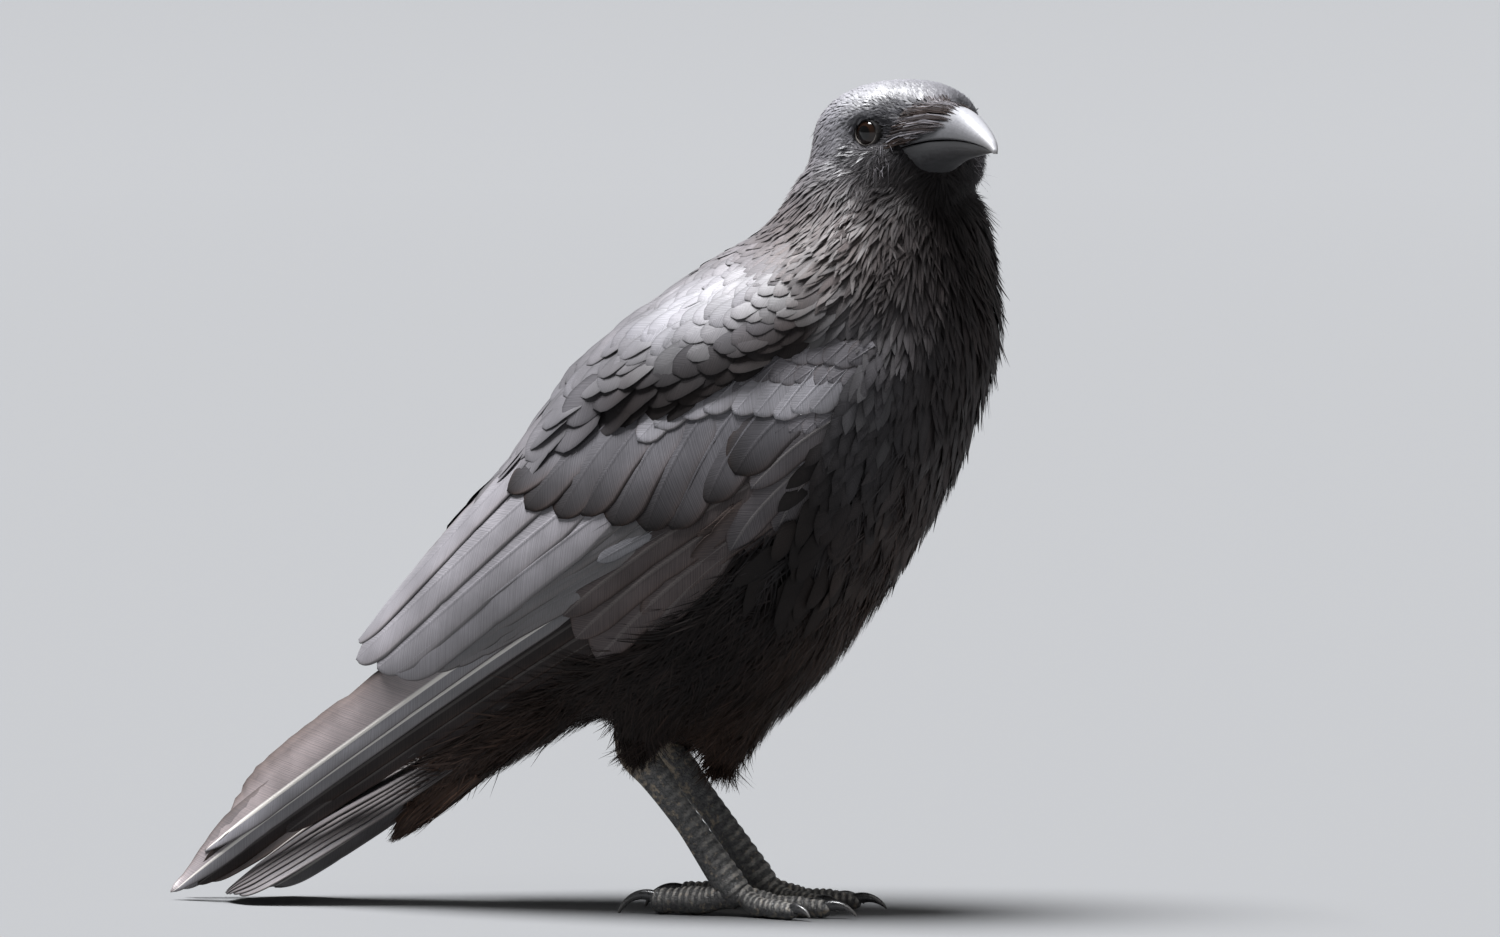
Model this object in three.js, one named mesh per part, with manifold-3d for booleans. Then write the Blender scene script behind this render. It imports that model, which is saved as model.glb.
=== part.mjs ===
// Carrion crow, standing, life size, as a still museum-type model.
//
// Units are millimetres, +Z is up and +X is the way the breast faces. The bird's left side is +Y.
// The floor is z = 0. Every solid is lofted from a few named stations, and manifold-3d joins and
// cuts the solids, so that neighbours meet with a small gap and never overlap.

import * as THREE from 'three';
import { mergeVertices } from 'three/addons/utils/BufferGeometryUtils.js';
import Module from 'manifold-3d';

const wasm = await Module();
wasm.setup();

// ---------------------------------------------------------------- driving dimensions

const GAP = 0.35;                 // clearance between solids that meet

const WING_SHEET = 2.0;           // thickness of the arm, coverts, secondaries and tertials
const PRIMARY_SHEET = 1.5;        // thickness of the folded primaries below them
const ARM_POCKET = WING_SHEET + GAP;
const PRIMARY_POCKET = ARM_POCKET + PRIMARY_SHEET + GAP;
const POCKET_REACH = 8;           // how far past the body form a wing's pocket is cut

const HEAD_CENTRE = new THREE.Vector3(65, -12, 274.9);     // midway between the eyes
const HEAD_YAW = -49;             // degrees: the head looks over the right shoulder
const HEAD_PITCH = 3.5;           // degrees: the bill is held just above level

const EYE_RADIUS = 6.2;
const EYE_CENTRE = 16.4;          // from the head's midplane
const EYE_BACK = 1;               // behind the head's own centre
const EYE_FORWARD = 26;           // degrees that each eye looks ahead of straight sideways
const LID_OPENING = 4.8;          // radius of the opening between the lids
const LID_HEIGHT = 4.6;           // how far out from the eye's middle the lids lie
const ORBIT_RIM = 9.5;            // radius of the shallow dish of feathers round the eye
const ORBIT_HEIGHT = 14;

const FOOT_SPREAD = 17;           // each foot's distance from the midplane
const TOE_REST = 0.9;             // height of a toe's middle, as a share of its radius

const SPINE_SIDE = new THREE.Vector3(0, -1, 0);

// ---------------------------------------------------------------- colours

const FEATHER = { color: 0x2a282b, roughness: 0.62, metalness: 0 };
const WING = { color: 0x3b3a40, roughness: 0.5, metalness: 0 };
const HORN = { color: 0x4a4b50, roughness: 0.35, metalness: 0 };
const SCALE = { color: 0x3f3c39, roughness: 0.6, metalness: 0 };
const CLAW = { color: 0x1f1d1d, roughness: 0.35, metalness: 0 };
const EYE = { color: 0x1a0f0a, roughness: 0.08, metalness: 0 };

// ---------------------------------------------------------------- interpolation and lofts

// Value of one column of a station table at u, from 0 at the first row to 1 at the last, on a
// Catmull-Rom curve through the rows.
function columnAt(rows, column, u) {
  const place = THREE.MathUtils.clamp(u, 0, 1) * (rows.length - 1);
  const first = Math.min(Math.floor(place), rows.length - 2);
  const f = place - first;
  const value = (k) => rows[THREE.MathUtils.clamp(k, 0, rows.length - 1)][column];
  const [a, b, c, d] = [value(first - 1), value(first), value(first + 1), value(first + 2)];
  const slopeIn = (c - a) / 2;
  const slopeOut = (d - b) / 2;
  const f2 = f * f;
  const f3 = f2 * f;
  return (2 * f3 - 3 * f2 + 1) * b + (f3 - 2 * f2 + f) * slopeIn
    + (3 * f2 - 2 * f3) * c + (f3 - f2) * slopeOut;
}

// `count` numbers, evenly spaced from 0 to 1.
function evenSteps(count) {
  return Array.from({ length: count }, (_, i) => i / (count - 1));
}

// A table resampled to `count` rows, evenly between its first and last.
function resample(rows, count) {
  return evenSteps(count).map((u) => rows[0].map((_, column) => columnAt(rows, column, u)));
}

// A closed solid through rings of equally many points, with a fan over each end.
function loft(rings) {
  const sides = rings[0].length;
  const points = rings.flat();
  const faces = [];
  for (let r = 0; r < rings.length - 1; r += 1) {
    for (let s = 0; s < sides; s += 1) {
      const a = r * sides + s;
      const b = r * sides + (s + 1) % sides;
      faces.push(a, b, b + sides, a, b + sides, a + sides);
    }
  }
  const cap = (ring, start, turned) => {
    const middle = ring.reduce((sum, p) => sum.add(p), new THREE.Vector3()).divideScalar(sides);
    const centre = points.push(middle) - 1;
    for (let s = 0; s < sides; s += 1) {
      const a = start + s;
      const b = start + (s + 1) % sides;
      faces.push(centre, turned ? b : a, turned ? a : b);
    }
  };
  cap(rings[0], 0, true);
  cap(rings[rings.length - 1], (rings.length - 1) * sides, false);

  const geometry = new THREE.BufferGeometry();
  const numbers = points.flatMap((p) => [p.x, p.y, p.z]);
  geometry.setAttribute('position', new THREE.Float32BufferAttribute(numbers, 3));
  geometry.setIndex(faces);
  return solid(geometry);
}

// A cosine or sine drawn towards the corners of its square, which fills an oval out.
function full(value, power) {
  return Math.sign(value) * Math.abs(value) ** power;
}

// An oval ring about `centre`, with its own two half axes as vectors.
function oval(centre, depth, width, sides, power = 1) {
  return Array.from({ length: sides }, (_, s) => {
    const angle = (2 * Math.PI * s) / sides;
    return centre.clone()
      .addScaledVector(depth, full(Math.cos(angle), power))
      .addScaledVector(width, full(Math.sin(angle), power));
  });
}

// ---------------------------------------------------------------- solids, cuts and meshes

// A manifold-3d solid from a three.js geometry, with its faces turned outwards.
function solid(geometry) {
  const bare = geometry.clone();
  bare.deleteAttribute('normal');
  bare.deleteAttribute('uv');
  const merged = mergeVertices(bare, 1e-4);
  const position = merged.getAttribute('position');
  const index = Array.from(merged.index.array);
  const p = [new THREE.Vector3(), new THREE.Vector3(), new THREE.Vector3()];
  let volume = 0;
  for (let i = 0; i < index.length; i += 3) {
    p.forEach((corner, k) => corner.fromBufferAttribute(position, index[i + k]));
    volume += p[0].dot(p[1].cross(p[2]));
  }
  if (volume < 0) {
    index.reverse();
  }
  return new wasm.Manifold(new wasm.Mesh({
    numProp: 3,
    vertProperties: new Float32Array(position.array),
    triVerts: new Uint32Array(index),
  }));
}

// The same solid on the bird's other side.
function mirrored(body) {
  return body.mirror([0, 1, 0]);
}

// The largest of the pieces that a cut may have left.
function largest(body) {
  return body.decompose().sort((a, b) => b.volume() - a.volume())[0];
}

// A block that fills one side of a plane through `point`, on the side that `normal` points to.
function halfSpace(point, normal) {
  const reach = 600;
  const block = new THREE.BoxGeometry(reach, reach, reach);
  block.translate(0, 0, reach / 2);
  const up = new THREE.Vector3(0, 0, 1);
  block.applyQuaternion(new THREE.Quaternion().setFromUnitVectors(up, normal.clone().normalize()));
  block.translate(point.x, point.y, point.z);
  return solid(block);
}

const crow = new THREE.Group();
crow.name = 'carrion_crow';

function addMesh(name, body, look) {
  const mesh = body.getMesh();
  const geometry = new THREE.BufferGeometry();
  geometry.setAttribute('position', new THREE.BufferAttribute(mesh.vertProperties, 3));
  geometry.setIndex(new THREE.BufferAttribute(mesh.triVerts, 1));
  geometry.computeVertexNormals();
  const part = new THREE.Mesh(geometry, new THREE.MeshStandardMaterial(look));
  part.name = name;
  crow.add(part);
}

// A solid made for the right side, as one mesh for each side.
function addPair(name, body, look) {
  addMesh(`${name}_right`, body, look);
  addMesh(`${name}_left`, mirrored(body), look);
}

// ---------------------------------------------------------------- body form

// The folded bird's outer form, wings included, as stations from the wing tips to the skull.
// Each row: back x, back z, belly x, belly z, half width, middle y.
const BODY_FORM = [
  [-216, 6, -214, -6, 10, 0],
  [-201, 22, -190, 4, 15, 0],
  [-183, 44, -168, 17, 20, 0],
  [-164, 65, -147, 29, 24, 0],
  [-146, 88, -121, 40, 28, 0],
  [-128, 112, -98, 50, 34, 0],
  [-110, 134, -76, 61, 41, 0],
  [-91, 155, -54, 69, 48, 0],
  [-73, 174, -30, 64, 53, 0],
  [-55, 193, -5, 61, 56, 0],
  [-36, 213, 20, 76, 57, 0],
  [-18, 228, 44, 106, 55, 0],
  [-3, 236, 67, 141, 52, 0],
  [6, 241, 82, 174, 48, 0],
  [13, 249, 91.5, 204, 42, 0],
  [20, 260, 88.5, 230, 36, -1],
  [32, 272, 85, 250, 29.5, -2],
];
const BODY_RINGS = 20;
const BODY_SIDES = 18;
const BODY_FULLNESS = 0.93;

// The same form behind the legs without the wings: it closes on the root of the tail.
const RUMP = [
  [-127, 60, -119, 38, 9, 0],
  [-113, 83, -103, 46, 18, 0],
  [-99, 108, -84, 58, 29, 0],
  [-84, 138, -60, 68, 41, 0],
];
const FIRST_FULL_ROW = 8;
const TRUNK_FORM = [...RUMP, ...BODY_FORM.slice(FIRST_FULL_ROW)];

// One ring of a body table, drawn in by `inset` on every side.
function bodyRing([backX, backZ, bellyX, bellyZ, halfWidth, middleY], inset) {
  const back = new THREE.Vector3(backX, middleY, backZ);
  const belly = new THREE.Vector3(bellyX, middleY, bellyZ);
  const depth = back.clone().sub(belly).divideScalar(2);
  const centre = belly.add(depth);
  depth.setLength(depth.length() - inset);
  const width = new THREE.Vector3(0, halfWidth - inset, 0);
  return oval(centre, depth, width, BODY_SIDES, BODY_FULLNESS);
}

function bodyForm(rows, inset) {
  return loft(resample(rows, BODY_RINGS).map((row) => bodyRing(row, inset)));
}

// ---------------------------------------------------------------- wings

// Side outlines of the folded wing, as x and z on the bird's flank. The upper run lies past the
// back, so that the body form itself closes the wing along the spine.
const ARM_OUTLINE = [
  [40, 224], [62, 212], [71, 193], [62, 172], [48, 154], [31, 141], [11, 131], [-15, 129],
  [-41, 124], [-68, 106], [-92, 92], [-111, 84], [-128, 81], [-143, 80], [-153, 90],
  [-150, 110], [-110, 165], [-64, 205], [-30, 214], [5, 230],
];
const PRIMARY_OUTLINE = [
  [8, 150], [12, 128], [-11, 107], [-45, 89], [-64, 80], [-107, 56], [-158, 28], [-195, 8],
  [-213, 0.6], [-216, 3], [-196, 30], [-150, 100], [-80, 150], [-20, 165],
];
const OUTLINE_DENSITY = 1.25;     // points on a smoothed outline for each of its own

// A prism from the midplane out past the right wing, over a smooth closed curve in x and z that
// is `grow` larger all round.
function sidePrism(outline, grow) {
  const reach = 90;
  const points = outline.map(([x, z]) => new THREE.Vector3(x, z, 0));
  const curve = new THREE.CatmullRomCurve3(points, true, 'catmullrom', 0.5);
  const count = Math.round(outline.length * OUTLINE_DENSITY);
  const smooth = curve.getPoints(count).slice(0, -1).map((p) => new THREE.Vector2(p.x, p.y));
  const outwards = THREE.ShapeUtils.area(smooth) > 0 ? 1 : -1;
  const grown = smooth.map((p, i) => {
    const before = smooth[(i + count - 1) % count];
    const after = smooth[(i + 1) % count];
    const side = new THREE.Vector2(after.y - before.y, before.x - after.x).normalize();
    return p.clone().addScaledVector(side, grow * outwards);
  });
  const prism = new THREE.ExtrudeGeometry(
    new THREE.Shape(grown),
    { depth: reach, bevelEnabled: false, steps: 1 },
  );
  prism.rotateX(Math.PI / 2);
  return solid(prism);
}

// The body form's shell between two depths.
function formShell(outer, inner) {
  return bodyForm(BODY_FORM, outer).subtract(bodyForm(BODY_FORM, inner));
}

const besideSpine = halfSpace(SPINE_SIDE.clone().multiplyScalar(GAP), SPINE_SIDE);
const wing = largest(
  formShell(0, WING_SHEET).intersect(sidePrism(ARM_OUTLINE, 0)).intersect(besideSpine),
);
const primaries = largest(
  formShell(ARM_POCKET, ARM_POCKET + PRIMARY_SHEET)
    .intersect(sidePrism(PRIMARY_OUTLINE, 0))
    .intersect(besideSpine),
);
addPair('wing', wing, WING);
addPair('primaries', primaries, WING);

// The hollows in the body in which both folded wings lie.
const pocket = formShell(-POCKET_REACH, ARM_POCKET)
  .intersect(sidePrism(ARM_OUTLINE, GAP))
  .add(formShell(-POCKET_REACH, PRIMARY_POCKET).intersect(sidePrism(PRIMARY_OUTLINE, GAP)));
const pockets = pocket.add(mirrored(pocket));

// ---------------------------------------------------------------- head

const headTurn = new THREE.Matrix4()
  .makeTranslation(HEAD_CENTRE)
  .multiply(new THREE.Matrix4().makeRotationZ(THREE.MathUtils.degToRad(HEAD_YAW)))
  .multiply(new THREE.Matrix4().makeRotationY(THREE.MathUtils.degToRad(-HEAD_PITCH)));

// A loft along the bill's own direction. Each row: x ahead of the eyes, top z, bottom z, half
// width, and how far up the widest place lies, from -1 at the bottom to 1 at the top.
function headLoft(rows, { rings, sides, power = 1, grow = 0 }) {
  return loft(resample(rows, rings).map(([x, top, bottom, halfWidth, waist]) => {
    const middle = (top + bottom) / 2;
    const ring = oval(
      new THREE.Vector3(x, 0, middle),
      new THREE.Vector3(0, 0, (top - bottom) / 2 + grow),
      new THREE.Vector3(0, halfWidth + grow, 0),
      sides,
      power,
    );
    const reach = (top - bottom) / 2 + grow;
    ring.forEach((p) => {
      const up = (p.z - middle) / reach;
      p.z += waist * reach * (1 - up * up);
    });
    return ring.map((p) => p.applyMatrix4(headTurn));
  }));
}

const SKULL = [
  [-47, 4, -22, 12, 0.1],
  [-41, 10, -30, 21, 0.15],
  [-31, 15.5, -33, 27.5, 0.2],
  [-20, 18.5, -33, 29.5, 0.2],
  [-10, 19.2, -31, 28.5, 0.2],
  [0, 18.2, -30, 26, 0.1],
  [8, 15.8, -28.5, 23.5, 0],
  [15, 12.5, -25, 19, 0],
  [21, 10.5, -20.5, 13.5, 0],
  [26, 9, -15.5, 7, 0.1],
];
const BRISTLES = [
  [8, 13, -3, 10, 0],
  [15, 12, -3, 10.6, 0],
  [21, 10.8, -2, 10, 0.1],
  [27, 9.8, 0.5, 7.8, 0.2],
  [33, 8.8, 5, 4, 0.2],
];
const UPPER_BILL = [
  [6, 9, -6, 9.4, -0.3],
  [15, 9.4, -5.2, 9.3, -0.3],
  [25, 9, -4.8, 8.8, -0.35],
  [34, 7.7, -4.6, 7.9, -0.4],
  [43, 5, -4.6, 6.6, -0.4],
  [50, 1.4, -4.8, 5.2, -0.35],
  [56, -2, -5.4, 3.7, -0.2],
  [60.5, -5, -7, 2.2, 0],
  [63.2, -8, -9.2, 0.8, 0],
];
const LOWER_BILL = [
  [6, -6.9, -15.6, 8.6, 0.3],
  [16, -5.6, -15.2, 8.5, 0.4],
  [26, -5.2, -14.4, 8, 0.4],
  [36, -5, -13.2, 7, 0.4],
  [45, -5, -11.7, 5.7, 0.4],
  [52, -5.3, -10.3, 4.2, 0.3],
  [57.5, -6.1, -9.2, 2.6, 0.1],
  [60.4, -7.6, -9, 1, 0],
];
const SKULL_SHAPE = { rings: 11, sides: 16, power: 0.94 };
const BRISTLE_SHAPE = { rings: 5, sides: 10 };
const BILL_SHAPE = { rings: 9, sides: 10 };

function feathersOfHead(grow) {
  return headLoft(SKULL, { ...SKULL_SHAPE, grow })
    .add(headLoft(BRISTLES, { ...BRISTLE_SHAPE, grow }));
}

// A shape made about the eye's middle with +Y out of the eye, set on the head at `side`, which is
// -1 for the right and 1 for the left.
function onEye(geometry, side) {
  geometry.rotateZ(THREE.MathUtils.degToRad(-EYE_FORWARD));
  if (side < 0) {
    geometry.rotateX(Math.PI);
  }
  geometry.translate(-EYE_BACK, side * EYE_CENTRE, 0);
  geometry.applyMatrix4(headTurn);
  return solid(geometry);
}

function eyeball(side, radius) {
  return onEye(new THREE.SphereGeometry(radius, 12, 8), side);
}

// The opening between the lids, with the shallow dish of short feathers round it.
function orbit(side) {
  const profile = [
    [0, 0], [LID_OPENING, 0], [LID_OPENING, LID_HEIGHT], [ORBIT_RIM, ORBIT_HEIGHT],
    [0, ORBIT_HEIGHT],
  ].map(([radius, height]) => new THREE.Vector2(radius, height));
  return onEye(new THREE.LatheGeometry(profile, 12), side);
}

// The hollow of the lore, between the eye and the bill.
const LORE_CENTRE = [15, 26, -1.5];
const LORE_SIZE = [14, 9.5, 8];

function lore(side) {
  const hollow = new THREE.SphereGeometry(1, 12, 8);
  hollow.scale(...LORE_SIZE);
  hollow.translate(LORE_CENTRE[0], side * LORE_CENTRE[1], LORE_CENTRE[2]);
  hollow.applyMatrix4(headTurn);
  return solid(hollow);
}

const skull = [-1, 1].reduce((body, side) => (
  body.subtract(eyeball(side, EYE_RADIUS + GAP)).subtract(orbit(side)).subtract(lore(side))
), feathersOfHead(0));

addMesh('eye_right', eyeball(-1, EYE_RADIUS), EYE);
addMesh('eye_left', eyeball(1, EYE_RADIUS), EYE);

// ---------------------------------------------------------------- legs

// A limb along a line in one upright plane. Each row: x, z, radius in that plane, radius in y.
function limb(rows, { rings, sides, grow = 0, y = 0 }) {
  const path = resample(rows, rings);
  return loft(path.map(([x, z, deep, wide], i) => {
    const before = path[Math.max(i - 1, 0)];
    const after = path[Math.min(i + 1, rings - 1)];
    const across = new THREE.Vector3(before[1] - after[1], 0, after[0] - before[0]).normalize();
    return oval(
      new THREE.Vector3(x, y, z),
      across.multiplyScalar(deep + grow),
      new THREE.Vector3(0, wide + grow, 0),
      sides,
    );
  }));
}

const THIGH = [
  [-27, 96, 20, 14],
  [-30, 80, 18, 14],
  [-32.8, 66, 13, 11.5],
  [-35.5, 55, 8, 7],
];
const TARSUS = [
  [-42.4, 64, 2.6, 2.4],
  [-38, 56.5, 5.4, 4],
  [-30.4, 49.3, 5.6, 3.7],
  [-24, 41, 4.8, 3],
  [-17, 32, 4.6, 2.9],
  [-10.8, 23.2, 5, 3.2],
  [-6, 16.2, 5.4, 4],
  [-2, 10.4, 5.6, 5.2],
  [1, 6.2, 4.4, 4.8],
];
const THIGH_OUT = 4;              // the thigh lies this much wider than the foot
const TARSUS_SHAPE = { rings: 8, sides: 10 };
const THIGH_SHAPE = { rings: 5, sides: 12 };

// Each toe: which way it points in degrees from straight ahead, inwards being positive on the
// right foot; its length, radii, arch of its middle and number of pads; its claw's arc length,
// first rise and whole bend in degrees.
const TOES = [
  {
    name: 'toe_middle', heading: -2, length: 35, base: 4.3, end: 3.2, arch: 0.5,
    pads: 3, claw: 13, rise: 25, bend: 75,
  },
  {
    name: 'toe_outer', heading: -27, length: 29, base: 3.9, end: 3.0, arch: 0.4,
    pads: 3, claw: 10, rise: 25, bend: 75,
  },
  {
    name: 'toe_inner', heading: 22, length: 27, base: 3.9, end: 3.1, arch: 0.4,
    pads: 3, claw: 12, rise: 25, bend: 75,
  },
  {
    name: 'hallux', heading: 178, length: 31, base: 4.9, end: 4.7, arch: 0.6,
    pads: 2, claw: 19, rise: 28, bend: 104,
  },
];
const TOE_ROOT = 7.4;             // height of the joint that all four toes leave from
const TOE_SETTLE = 0.42;          // share of a toe's length over which it comes down to the floor
const PAD_SWELL = 0.09;           // how far each pad swells the toe, as a share of its radius
const TOE_WIDTH = 0.92;           // a toe's width as a share of its depth
const TIP_START = 0.9;            // share of the length where the toe's end starts to round off
const TIP_ROUNDING = 7;
const TOE_SHAPE = { rings: 7, sides: 8 };
const CLAW_SHAPE = { rings: 5, sides: 6 };
const CLAW_DEPTH = 2.3;
const CLAW_TAPER = 1.4;
const CLAW_WIDTH = 1.7;
const CLAW_TIP = 0.35;
const CLAW_SEAT = 2.2;            // how far a claw's root reaches back into the toe
const CLAW_LIFT = 1.15;           // height of a claw's root, as a share of the toe's end radius

function toe({ length, base, end, arch, pads }, grow) {
  const rows = evenSteps(TOE_SHAPE.rings).map((u) => {
    const radius = THREE.MathUtils.lerp(base, end, u);
    const swell = 1 + PAD_SWELL * Math.cos(2 * Math.PI * pads * u);
    const settle = 1 - THREE.MathUtils.smoothstep(u, 0, TOE_SETTLE);
    const rest = radius * TOE_REST;
    const height = rest + (TOE_ROOT - rest) * settle + arch * Math.sin(Math.PI * u);
    const tip = Math.sqrt(1 - Math.max(0, u - TIP_START) * TIP_ROUNDING);
    const round = radius * swell * tip;
    return [u * length, height, round, round * TOE_WIDTH];
  });
  return limb(rows, { ...TOE_SHAPE, grow });
}

function claw({ length, end, claw: arc, rise, bend }) {
  const rise0 = THREE.MathUtils.degToRad(rise);
  const sweep = THREE.MathUtils.degToRad(bend);
  const rows = evenSteps(CLAW_SHAPE.rings).map((u) => {
    const angle = rise0 - sweep * u;
    const x = length - CLAW_SEAT + (arc / sweep) * (Math.sin(rise0) - Math.sin(angle));
    const z = end * CLAW_LIFT + (arc / sweep) * (Math.cos(angle) - Math.cos(rise0));
    const thin = 1 - u ** CLAW_TAPER;
    return [
      x,
      Math.max(z, CLAW_TIP),
      CLAW_TIP + (CLAW_DEPTH - CLAW_TIP) * thin,
      CLAW_TIP + (CLAW_WIDTH - CLAW_TIP) * thin,
    ];
  });
  return limb(rows, CLAW_SHAPE);
}

// The floor cuts the small flats that the bird stands on.
const aboveFloor = halfSpace(new THREE.Vector3(), new THREE.Vector3(0, 0, 1));

// A piece of the foot, made pointing ahead, turned and set on the right foot's own place.
function onFoot(body, heading) {
  return body.intersect(aboveFloor).rotate([0, 0, heading]).translate([0, -FOOT_SPREAD, 0]);
}

const thigh = (grow) => limb(THIGH, { ...THIGH_SHAPE, grow, y: -FOOT_SPREAD - THIGH_OUT });
const tarsus = (grow) => limb(TARSUS, { ...TARSUS_SHAPE, grow, y: -FOOT_SPREAD });

addPair('tarsus', largest(tarsus(0).subtract(thigh(GAP))), SCALE);

let footSoFar = tarsus(GAP);
TOES.forEach((shape) => {
  const made = largest(onFoot(toe(shape, 0), shape.heading).subtract(footSoFar));
  addPair(shape.name, made, SCALE);
  footSoFar = footSoFar.add(onFoot(toe(shape, GAP), shape.heading));
});
TOES.forEach((shape) => {
  const made = largest(onFoot(claw(shape), shape.heading).subtract(footSoFar));
  addPair(`${shape.name}_claw`, made, CLAW);
});

// ---------------------------------------------------------------- feathered flesh

// The loose belly feathers that hang between the legs, and the ones under the tail's root.
const BELLY_TUFT = [
  [-8, 80, 24, 24],
  [-8, 64, 15, 15],
  [-8.5, 56, 11, 10],
  [-8, 50.5, 6.5, 6],
  [-8, 46, 1.2, 1.2],
];
const UNDERTAIL = [
  [-58, 77, 9, 24],
  [-84, 63, 9, 21],
  [-106, 47.5, 6.5, 16],
  [-122, 36, 4, 10],
  [-134, 23, 1.4, 4],
];

function feathersOfTrunk(grow) {
  return bodyForm(TRUNK_FORM, -grow)
    .add(limb(BELLY_TUFT, { rings: 7, sides: 12, grow }))
    .add(limb(UNDERTAIL, { rings: 7, sides: 12, grow }));
}

// Flesh parts along two planes: under the skull, and at the base of the neck.
const SKULL_BASE = new THREE.Vector3(54, 0, 247);
const SKULL_BASE_NORMAL = new THREE.Vector3(0.3, 0, 0.95);
const NECK_BASE = new THREE.Vector3(50, 0, 224);
const NECK_BASE_NORMAL = new THREE.Vector3(0.37, 0, 0.93);

function beyond(point, normal, side) {
  const direction = normal.clone().normalize().multiplyScalar(side);
  return halfSpace(point.clone().addScaledVector(direction, GAP / 2), direction);
}

const flesh = feathersOfTrunk(0).add(skull).subtract(pockets);
const aboveSkullBase = beyond(SKULL_BASE, SKULL_BASE_NORMAL, 1);
const belowSkullBase = beyond(SKULL_BASE, SKULL_BASE_NORMAL, -1);
const aboveNeckBase = beyond(NECK_BASE, NECK_BASE_NORMAL, 1);
const belowNeckBase = beyond(NECK_BASE, NECK_BASE_NORMAL, -1);

addMesh('head', largest(flesh.intersect(aboveSkullBase)), FEATHER);
addMesh('neck', largest(flesh.intersect(belowSkullBase).intersect(aboveNeckBase)), FEATHER);
addMesh('trunk', largest(flesh.intersect(belowNeckBase)), FEATHER);

const thighBed = feathersOfTrunk(GAP);
addPair('thigh', largest(thigh(0).subtract(thighBed).subtract(mirrored(thighBed))), FEATHER);

const billBed = feathersOfHead(GAP);
addMesh('bill_upper', largest(headLoft(UPPER_BILL, BILL_SHAPE).subtract(billBed)), HORN);
addMesh('bill_lower', largest(headLoft(LOWER_BILL, BILL_SHAPE).subtract(billBed)), HORN);

// ---------------------------------------------------------------- tail

// The folded tail, roofed over its middle. Each row: x, z of the ridge, half width, drop of the
// edges below the ridge, thickness at the ridge.
const TAIL = [
  [-56, 86, 15, 5, 9],
  [-90, 66.5, 19, 6, 8],
  [-125, 44.5, 22.5, 6.5, 6.5],
  [-155, 26, 25, 6, 5],
  [-178, 11, 27, 4.5, 3.6],
  [-187, 5.4, 25.5, 2.8, 3],
  [-192, 2.5, 19, 1, 2.6],
  [-194, 1.9, 10, 0.4, 2.2],
];
const TAIL_RINGS = 11;
const TAIL_COLUMNS = 7;
const TAIL_EDGE = 1.1;            // thickness at the outer edges

function tailRing([x, ridge, halfWidth, drop, thick]) {
  const across = evenSteps(TAIL_COLUMNS).map((step) => {
    const u = 2 * step - 1;
    const top = ridge - drop * Math.abs(u) ** 1.5;
    const under = top - THREE.MathUtils.lerp(thick, TAIL_EDGE, Math.abs(u) ** 1.5);
    return { y: u * halfWidth, top, under };
  });
  return [
    ...across.map(({ y, top }) => new THREE.Vector3(x, y, top)),
    ...across.reverse().map(({ y, under }) => new THREE.Vector3(x, y, under)),
  ];
}

const tail = loft(resample(TAIL, TAIL_RINGS).map(tailRing)).intersect(aboveFloor);
addMesh('tail', largest(tail.subtract(feathersOfTrunk(GAP))), WING);

// ---------------------------------------------------------------- frame

// The part's origin is on the floor, under the middle of the whole bird.
const box = new THREE.Box3().setFromObject(crow);
const middle = box.getCenter(new THREE.Vector3());
crow.position.set(-middle.x, -middle.y, -box.min.z);

export default crow;
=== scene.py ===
"""Carrion crow, life size, standing: the looks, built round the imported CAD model.

Places on the body are millimetres from the leg line: x ahead of it, y to the bird's left of its
midplane and z above the floor. Places on the head are millimetres ahead of, left of and above the
head's own middle, just ahead of the middle between the eyes. Both are found from the boxes of the
CAD nodes.
"""

import math

import bpy
import numpy as np
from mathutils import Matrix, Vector
from mathutils.bvhtree import BVHTree
from mathutils.kdtree import KDTree


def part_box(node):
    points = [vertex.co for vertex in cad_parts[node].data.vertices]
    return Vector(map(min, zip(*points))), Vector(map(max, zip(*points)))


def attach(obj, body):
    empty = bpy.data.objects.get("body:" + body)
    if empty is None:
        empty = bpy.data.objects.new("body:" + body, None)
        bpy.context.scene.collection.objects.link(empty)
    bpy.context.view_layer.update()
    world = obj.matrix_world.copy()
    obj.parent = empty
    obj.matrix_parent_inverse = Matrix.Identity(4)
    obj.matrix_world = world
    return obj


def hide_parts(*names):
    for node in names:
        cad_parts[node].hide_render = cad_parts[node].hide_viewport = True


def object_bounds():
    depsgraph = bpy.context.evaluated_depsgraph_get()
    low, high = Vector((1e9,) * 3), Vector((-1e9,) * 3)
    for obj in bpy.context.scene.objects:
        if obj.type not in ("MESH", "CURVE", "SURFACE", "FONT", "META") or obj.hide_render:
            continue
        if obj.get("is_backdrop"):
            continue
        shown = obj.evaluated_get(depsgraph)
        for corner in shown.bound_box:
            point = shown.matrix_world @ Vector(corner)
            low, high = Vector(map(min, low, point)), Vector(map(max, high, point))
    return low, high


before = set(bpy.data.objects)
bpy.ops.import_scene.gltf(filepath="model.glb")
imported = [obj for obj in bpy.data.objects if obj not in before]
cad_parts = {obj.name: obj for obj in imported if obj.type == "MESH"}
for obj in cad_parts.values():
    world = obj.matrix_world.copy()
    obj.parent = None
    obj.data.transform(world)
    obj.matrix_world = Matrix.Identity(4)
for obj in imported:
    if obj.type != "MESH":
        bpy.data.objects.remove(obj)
cad_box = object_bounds()

MM = 0.001
RNG = np.random.default_rng(20)

# ---------------------------------------------------------------- the two sets of axes

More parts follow.
